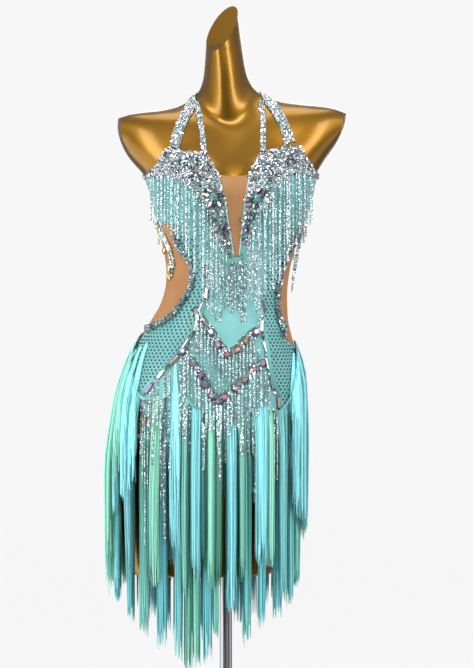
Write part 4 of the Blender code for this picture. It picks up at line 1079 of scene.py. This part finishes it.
def addCupStones():
    for side, seed in (("Left", 3), ("Right", 6)):
        mesh = cloth["cup" + side].data
        hem = lines["hem" + side]

        def aboveHem(centre, normal):
            return (centre.z > readLine(hem, centre.x) + cups["above"] and clearOfSprays(centre)
                    and facesOut(centre, normal))

        def topBand(centre, normal):
            return centre.z > cups["bandFrom"] and aboveHem(centre, normal)

        def besideEdge(centre, normal):
            return centre.z <= cups["bandFrom"] and aboveHem(centre, normal)

        def belowHem(centre, normal):
            return centre.z < readLine(hem, centre.x) - cups["below"] and facesOut(centre, normal)

        # where, shape, finish, gap, size and tilt
        strewn = ((topBand, "round", clearStones, 2.6 * mm, square(4.0 * mm), 0.45),
                  (topBand, "leaf", clearStones, 6.0 * mm, (11 * mm, 11 * mm, 13 * mm), 0.4),
                  (besideEdge, "round", clearStones, 3.0 * mm, square(3.8 * mm), 0.4),
                  (belowHem, "round", smokyStones, 7.5 * mm, square(2.4 * mm), 0.2))
        joinPiece("cupStones" + side, [strewStones(mesh, *row, seed + n) for n, row in enumerate(strewn)])


def addStrapStones():
    straps = ("strapOuterLeft", "strapOuterRight", "strapInnerLeft", "strapInnerRight", "neckBand")
    joinPiece("strapStones", [strewStones(cloth[name].data, facesOut, "round", clearStones, 2.3 * mm,
                                          square(3.6 * mm), tilt=0.45, seed=11 + n)
                              for n, name in enumerate(straps)])


addCupStones()
addStrapStones()


# single stones among the sprays and under the foot of the V: shape, finish, size, then x and height
singleStones = [
    ("oval", smokyStones, 9 * mm,
     [(-0.0449, 1.3215), (-0.0424, 1.2942), (-0.0086, 1.3117), (-0.0086, 1.2877), (-0.0239, 1.2627),
      (0.0921, 1.3283), (0.0397, 1.2744), (0.0619, 1.2859), (0.0790, 1.3035), (0.0426, 1.251),
      (0.0440, 1.2365)]),
    ("round", colouredStones, 8 * mm,
     [(0.0052, 1.2225), (0.0325, 1.2234), (0.0500, 1.3357), (0.0806, 1.3852), (0.0426, 1.3117),
      (-0.0291, 1.3624)]),
    ("drop", clearStones, 9 * mm,
     [(0.0085, 1.201), (0.0295, 1.199), (0.019, 1.181), (0.0047, 1.162), (0.0251, 1.162), (0.0125, 1.188),
      (0.0255, 1.188)]),
]


def addSprays():
    rng = random.Random(51)
    leaves, eyes = [], []
    for x, height, length in sprays["centres"]:
        centre, out = frontSpot(x, height, sprays["lift"])
        eyes.append((centre + out * sprays["eyeLift"], out, across, square(sprays["eye"])))
        start = rng.uniform(0.0, 1.0)
        for n in range(sprays["leaves"]):
            turn = 2 * math.pi * (n + start + rng.uniform(-0.15, 0.15)) / sprays["leaves"]
            reach = length * sprays["out"] * rng.uniform(0.85, 1.15)
            place, own = frontSpot(x + reach * math.cos(turn), height + reach * math.sin(turn),
                                   sprays["leafLift"])
            leaves.append((place, (own + out).normalized(), (place - centre).normalized(),
                           (length, length, length * sprays["tall"])))

    dark = leaves[::sprays["darkEvery"]]
    light = [leaf for n, leaf in enumerate(leaves) if n % sprays["darkEvery"]]
    meshes = [setStones(light, "leaf", clearStones, tilt=0.2, seed=52),
              setStones(dark, "leaf", smokyStones, tilt=0.2, seed=57),
              setStones(eyes, "round", clearStones, tilt=0.1, seed=53)]
    for n, (shape, finish, side, places) in enumerate(singleStones):
        seats = [(*frontSpot(x, height, sprays["singleLift"]), up, square(side)) for x, height in places]
        meshes.append(setStones(seats, shape, finish, tilt=0.35, seed=54 + n))
    joinPiece("sprayStones", meshes)


addSprays()


# long stones down the yoke seams, with a round one between each two
yokes = {"Left": [(-0.0344, 1.1735), (-0.0361, 1.135), (-0.0437, 1.1077), (-0.0536, 1.0777),
                  (-0.0711, 1.0475), (-0.0921, 1.0177), (-0.1124, 0.9939), (-0.1336, 0.9676),
                  (-0.155, 0.9477)],
         "Right": [(0.0654, 1.1122), (0.0650, 1.0772), (0.0689, 1.0405), (0.0724, 1.011),
                   (0.0801, 0.9757), (0.0916, 0.9425)],
         "long": (25 * mm, 22 * mm, 20 * mm), "round": square(7.5 * mm), "lift": 0.8 * mm}


def seatsAt(points, lift, size, tree=allTree):
    # one seat at each point of a line, turned along it
    seats = []
    for n, (x, height) in enumerate(points):
        (x0, z0), (x1, z1) = points[max(0, n - 1)], points[min(len(points) - 1, n + 1)]
        seats.append((*frontSpot(x, height, lift, tree), Vector((x1 - x0, 0.0, z1 - z0)).normalized(), size))
    return seats


def addYokeStones():
    for side in ("Left", "Right"):
        node = "baguette_" + side.lower()
        strip = smoothCopy(node, "yokeStrip" + side, 1, aquaCloth)
        tree = coverTree(strip)
        points = yokes[side]
        between = [((x0 + x1) / 2, (z0 + z1) / 2) for (x0, z0), (x1, z1) in zip(points, points[1:])]
        long = setStones(seatsAt(points, yokes["lift"], yokes["long"], tree), "baguette", colouredStones,
                         tilt=0.12, seed=61)
        rounds = setStones(seatsAt(between, yokes["lift"], yokes["round"], tree), "round", clearStones,
                           tilt=0.2, seed=62)
        joinPiece("yokeStones" + side, [strip, long, rounds], [node])


# stones packed along the cut-outs, small clear and dark ones and some bigger: gap and size
cutouts = ((clearStones, 3.9 * mm, 4.6 * mm), (smokyStones, 3.9 * mm, 4.6 * mm),
           (ovalStones, 11 * mm, 8 * mm))


def addCutoutStones():
    for side, seed in (("Left", 63), ("Right", 66)):
        node = "trim_" + side.lower()
        strip = smoothCopy(node, "trimStrip" + side, 1, aquaCloth)
        stones = [strewStones(strip, facesOut, "round", finish, gap, square(size), tilt=0.4, seed=seed + n)
                  for n, (finish, gap, size) in enumerate(cutouts)]
        joinPiece("cutoutStones" + side, [strip, *stones], [node])


# the two V lines: oval stones in a row, their rim darkened by painted shade and a larger dark stone under
# each, small silver ones to each side;
# the row has finish, size and lift, and what is beside it has how far aside and lift
vees = {"row": ((ovalStones, (15 * mm, 16 * mm, 15 * mm), 4.6 * mm),
                (dotStones, (20 * mm, 23 * mm, 9 * mm), 3.3 * mm)),
        "small": square(3.0 * mm), "pitch": 3.6 * mm, "beside": ((8.0 * mm, 0.8 * mm), (-8.0 * mm, 3.4 * mm))}


def addVeeStones():
    meshes = []
    for n, name in enumerate(("veeUpper", "veeLower")):
        line = lines[name]
        meshes += [setStones(seatsAt(line, lift, size), "oval", finish, tilt=0.25, seed=71 + n)
                   for finish, size, lift in vees["row"]]
        beside = [seat for aside, lift in vees["beside"]
                  for seat in seatRow(line, vees["pitch"], lift, aside, vees["small"])]
        meshes.append(setStones(beside, "round", clearStones, tilt=0.3, seed=73 + n))
    joinPiece("veeStones", meshes)


# dark stones in staggered rows on the hip panels
lattice = {"pitch": 8.2 * mm, "row": 5.9 * mm, "size": square(4.4 * mm), "margin": 3.0 * mm,
           "lift": 0.2 * mm, "round": math.radians(100), "hipRadius": 0.12}


def addHipStones():
    for side, way in (("Left", -1.0), ("Right", 1.0)):
        panel = cloth["hipPanel" + side].data
        tree = treeOf(panel)
        heights = [vert.co.z for vert in panel.vertices]
        low, margin = min(heights), lattice["margin"]
        seats = []

        def meet(turn, height):
            axis = axisAt(height)
            ahead = Vector((math.sin(turn), -math.cos(turn), 0.0))
            return *tree.ray_cast(axis + ahead * 0.5, -ahead)[:2], axis

        for r in range(int((max(heights) - low) / lattice["row"])):
            height = low + lattice["row"] * (r + 0.5)
            walk = lattice["pitch"] * (0.5 if r % 2 else 0.0)
            turn = 0.0
            while turn < lattice["round"]:
                place, out, axis = meet(way * turn, height)
                radius = (place - axis).length if place else lattice["hipRadius"]
                turn += (walk if turn == 0.0 else lattice["pitch"]) / radius + 1e-4
                place, out, axis = meet(way * turn, height)
                around = ((margin / radius, 0.0), (-margin / radius, 0.0), (0.0, margin), (0.0, -margin))
                if place and all(meet(way * (turn + more), height + rise)[0] for more, rise in around):
                    seats.append((place + out * lattice["lift"], out, up, lattice["size"]))
        stones = setStones(seats, "round", dotStones, tilt=0.12, seed=81)
        joinPiece("hipStones" + side, [stones])


addYokeStones()
addCutoutStones()
addVeeStones()
addHipStones()


# strands from the foot of the cups, over the front panel: x and how low each ends;
# each is a pair, aside and lift
middleFalls = [(-0.0380, 1.1140), (-0.0310, 1.1070), (-0.0240, 1.1010), (-0.0165, 1.0880), (-0.0095, 1.0860),
               (-0.0030, 1.1040), (0.0035, 1.1170), (0.0100, 1.1020), (0.0160, 1.1060), (0.0225, 1.1020),
               (0.0285, 1.0860), (0.0345, 1.0850), (0.0405, 1.1280), (0.0465, 1.1250), (0.0530, 1.0990),
               (0.0595, 1.0640)]
insertFoot = {"from": 0.002, "to": 0.036, "height": 1.188}
fallPairs = ((-1.2 * mm, 1.3 * mm), (1.2 * mm, 1.6 * mm))
veeFalls = {"from": -0.052, "to": 0.054, "count": 17, "top": 5 * mm, "lift": 0.8 * mm}


def addMiddleFalls():
    tree = coverTree(*solidsOf(beadFringes))
    rng = random.Random(43)
    paths = []
    for x, low in middleFalls:
        underInsert = insertFoot["from"] < x < insertFoot["to"]
        top = insertFoot["height"] if underInsert else rng.uniform(1.15, 1.24)
        for aside, lift in fallPairs:
            paths.append(fallInFront(x + aside, top, low + rng.uniform(-4, 4) * mm, lift, tree))
    # more between the upper and the lower V
    for n in range(veeFalls["count"]):
        x = veeFalls["from"] + (veeFalls["to"] - veeFalls["from"]) * (n + 0.5) / veeFalls["count"]
        top, low = readLine(lines["veeUpper"], x), readLine(lines["veeLower"], x)
        paths.append(fallInFront(x, top - veeFalls["top"], low + rng.uniform(6, 12) * mm, veeFalls["lift"],
                                 tree))
    joinPiece("middleFalls", [threadBeads(paths, seed=44)])


# bead chains down each side, double on the left, with amber drops there: x and height
sideChains = [[(-0.1245, 1.262), (-0.1130, 1.240), (-0.1010, 1.222), (-0.0945, 1.195), (-0.0965, 1.168)],
              [(-0.1200, 1.262), (-0.1085, 1.236), (-0.0985, 1.214), (-0.0930, 1.186)],
              [(0.1375, 1.243), (0.1320, 1.216), (0.1270, 1.190), (0.1225, 1.165), (0.1190, 1.142)],
              [(0.1335, 1.243), (0.1285, 1.214), (0.1235, 1.188), (0.1200, 1.164)]]
amberDrops = [(-0.1236, 1.2505), (-0.1184, 1.2400), (-0.1074, 1.2114), (-0.0998, 1.1815), (-0.0992, 1.1665)]
chains = {"aside": 2.2 * mm, "lift": 2.2 * mm, "ahead": 6 * mm, "pitch": 3.8 * mm,
          "bead": square(4.0 * mm), "drop": (15 * mm, 16 * mm, 14 * mm)}


def sideSpot(x, height):
    # on the front where there is one, or else level with the form's widest place
    spot = frontSpot(x, height, chains["lift"])
    return spot[0] if spot else Vector((x, axisAt(height).y - chains["ahead"], height))


def addSideChains():
    paths = [[sideSpot(x + aside, height) for x, height in chain] for chain in sideChains
             for aside in ((-chains["aside"], chains["aside"]) if chain[0][0] < 0.0 else (0.0,))]
    drops = [(sideSpot(x, height), -inward, -up, chains["drop"]) for x, height in amberDrops]
    joinPiece("sideChains", [threadBeads(paths, seed=92, pitch=chains["pitch"], size=chains["bead"]),
                             setStones(drops, "drop", amberStones, tilt=0.3, seed=91)])


# a pale piping down each edge of the neckline, outside the insert
pipes = {"aside": {"Left": -1.2 * mm, "Right": 1.2 * mm}, "pitch": 4 * mm, "lift": 0.5 * mm,
         "radius": 0.9 * mm}


def addPiping():
    paths = []
    for side, aside in pipes["aside"].items():
        path = [seat[0] for seat in seatRow(lines["edge" + side], pipes["pitch"], pipes["lift"], aside)]
        paths.append((path, {"thick": [pipes["radius"]] * len(path)}))
    joinPiece("edgePiping", [spinThreads(paths, piping, 6)])


addMiddleFalls()
addSideChains()
addPiping()
print("stones ready")

bpy.context.scene.view_settings.view_transform = "Standard"


# studio: pale floor, white surround, a darker front and bright strips at each side
studio = {"white": (0.93, 0.93, 0.93), "floor": (0.86, 0.86, 0.86), "strip": (1.15, 1.15, 1.15),
          "behind": (0.42, 0.42, 0.42), "floorSize": 60.0, "aim": Vector((0.0, 0.0, 1.1)),
          "lamps": {"boxLeft": ((-1.9, -2.1, 1.8), (0.9, 2.2), 48.0),
                    "boxRight": ((2.1, -1.9, 1.7), (0.7, 2.2), 40.0),
                    "boxFront": ((0.2, -3.4, 2.9), (1.8, 0.9), 60.0),
                    "boxTop": ((0.0, 0.1, 3.2), (1.6, 1.6), 24.0),
                    "boxBack": ((0.4, 2.8, 2.0), (1.8, 1.8), 30.0)}}


def addFloor():
    bpy.ops.mesh.primitive_plane_add(size=studio["floorSize"], location=(0.0, 0.0, 0.0))
    floor = bpy.context.active_object
    floor.name = "floor"
    material, tree, shader = startMaterial("paleFloor")
    # what the tube and the lacquer reflect of it is dark, with a light band at each side
    coords = addNode(tree, "ShaderNodeTexCoord")
    flat = addNode(tree, "ShaderNodeVectorMath", {0: coords["Object"], 1: (1.0, 1.0, 0.0)},
                   operation="MULTIPLY")[0]
    way = addNode(tree, "ShaderNodeVectorMath", {0: flat}, operation="NORMALIZE")[0]
    aside = mapRange(tree, addNode(tree, "ShaderNodeSeparateXYZ", {0: way})["X"], -1.0, 1.0)
    mirrored = ramp(tree, aside, greys((0.0, 2.6), (0.06, 2.6), (0.12, 0.22), (0.64, 0.22), (0.70, 0.9),
                                       (0.74, 0.9), (0.80, 0.22), (0.97, 0.22), (1.0, 1.5)))
    seen = addNode(tree, "ShaderNodeLightPath")["Is Camera Ray"]
    feed(shader, {"Roughness": 0.8, "Base Color": (0.02, 0.02, 0.02, 1.0), "Emission Strength": 1.0,
                  "Emission Color": mixColour(tree, seen, mirrored, studio["floor"])})
    floor.data.materials.append(material)


def addWorld():
    world = bpy.data.worlds.new("studio")
    bpy.context.scene.world = world
    world.use_nodes = True
    tree = world.node_tree
    tree.nodes.clear()
    way = addNode(tree, "ShaderNodeSeparateXYZ", {0: addNode(tree, "ShaderNodeTexCoord")["Generated"]})
    strips = ramp(tree, maths(tree, "ABSOLUTE", way["X"]),
                  greys((0.0, 0.0), (0.66, 0.0), (0.72, 1.0), (0.88, 1.0), (0.94, 0.3)))
    front = ramp(tree, mapRange(tree, way["Z"], -1.0, 1.0),
                 greys((0.0, 0.55), (0.36, 0.25), (0.45, 0.25), (0.48, 0.30), (0.52, 0.50), (0.66, 0.65),
                       (1.0, 1.0)))
    lit = mixColour(tree, strips, front, studio["strip"])
    lit = mixColour(tree, mapRange(tree, way["Y"], 0.05, 0.45), lit, studio["behind"])
    room = addNode(tree, "ShaderNodeBackground", {"Color": lit})[0]
    white = addNode(tree, "ShaderNodeBackground", {"Color": (*studio["white"], 1.0)})[0]
    seen = addNode(tree, "ShaderNodeLightPath")["Is Camera Ray"]
    both = addNode(tree, "ShaderNodeMixShader", {0: seen, 1: room, 2: white})[0]
    addNode(tree, "ShaderNodeOutputWorld", {0: both})


def addLamps():
    for name, (place, size, power) in studio["lamps"].items():
        lamp = bpy.data.lights.new(name, "AREA")
        lamp.shape = "RECTANGLE"
        lamp.size, lamp.size_y = size
        lamp.energy = power
        box = addObject(name, lamp)
        box.location = place
        box.rotation_euler = (studio["aim"] - box.location).to_track_quat("-Z", "Y").to_euler()


addFloor()
addWorld()
addLamps()
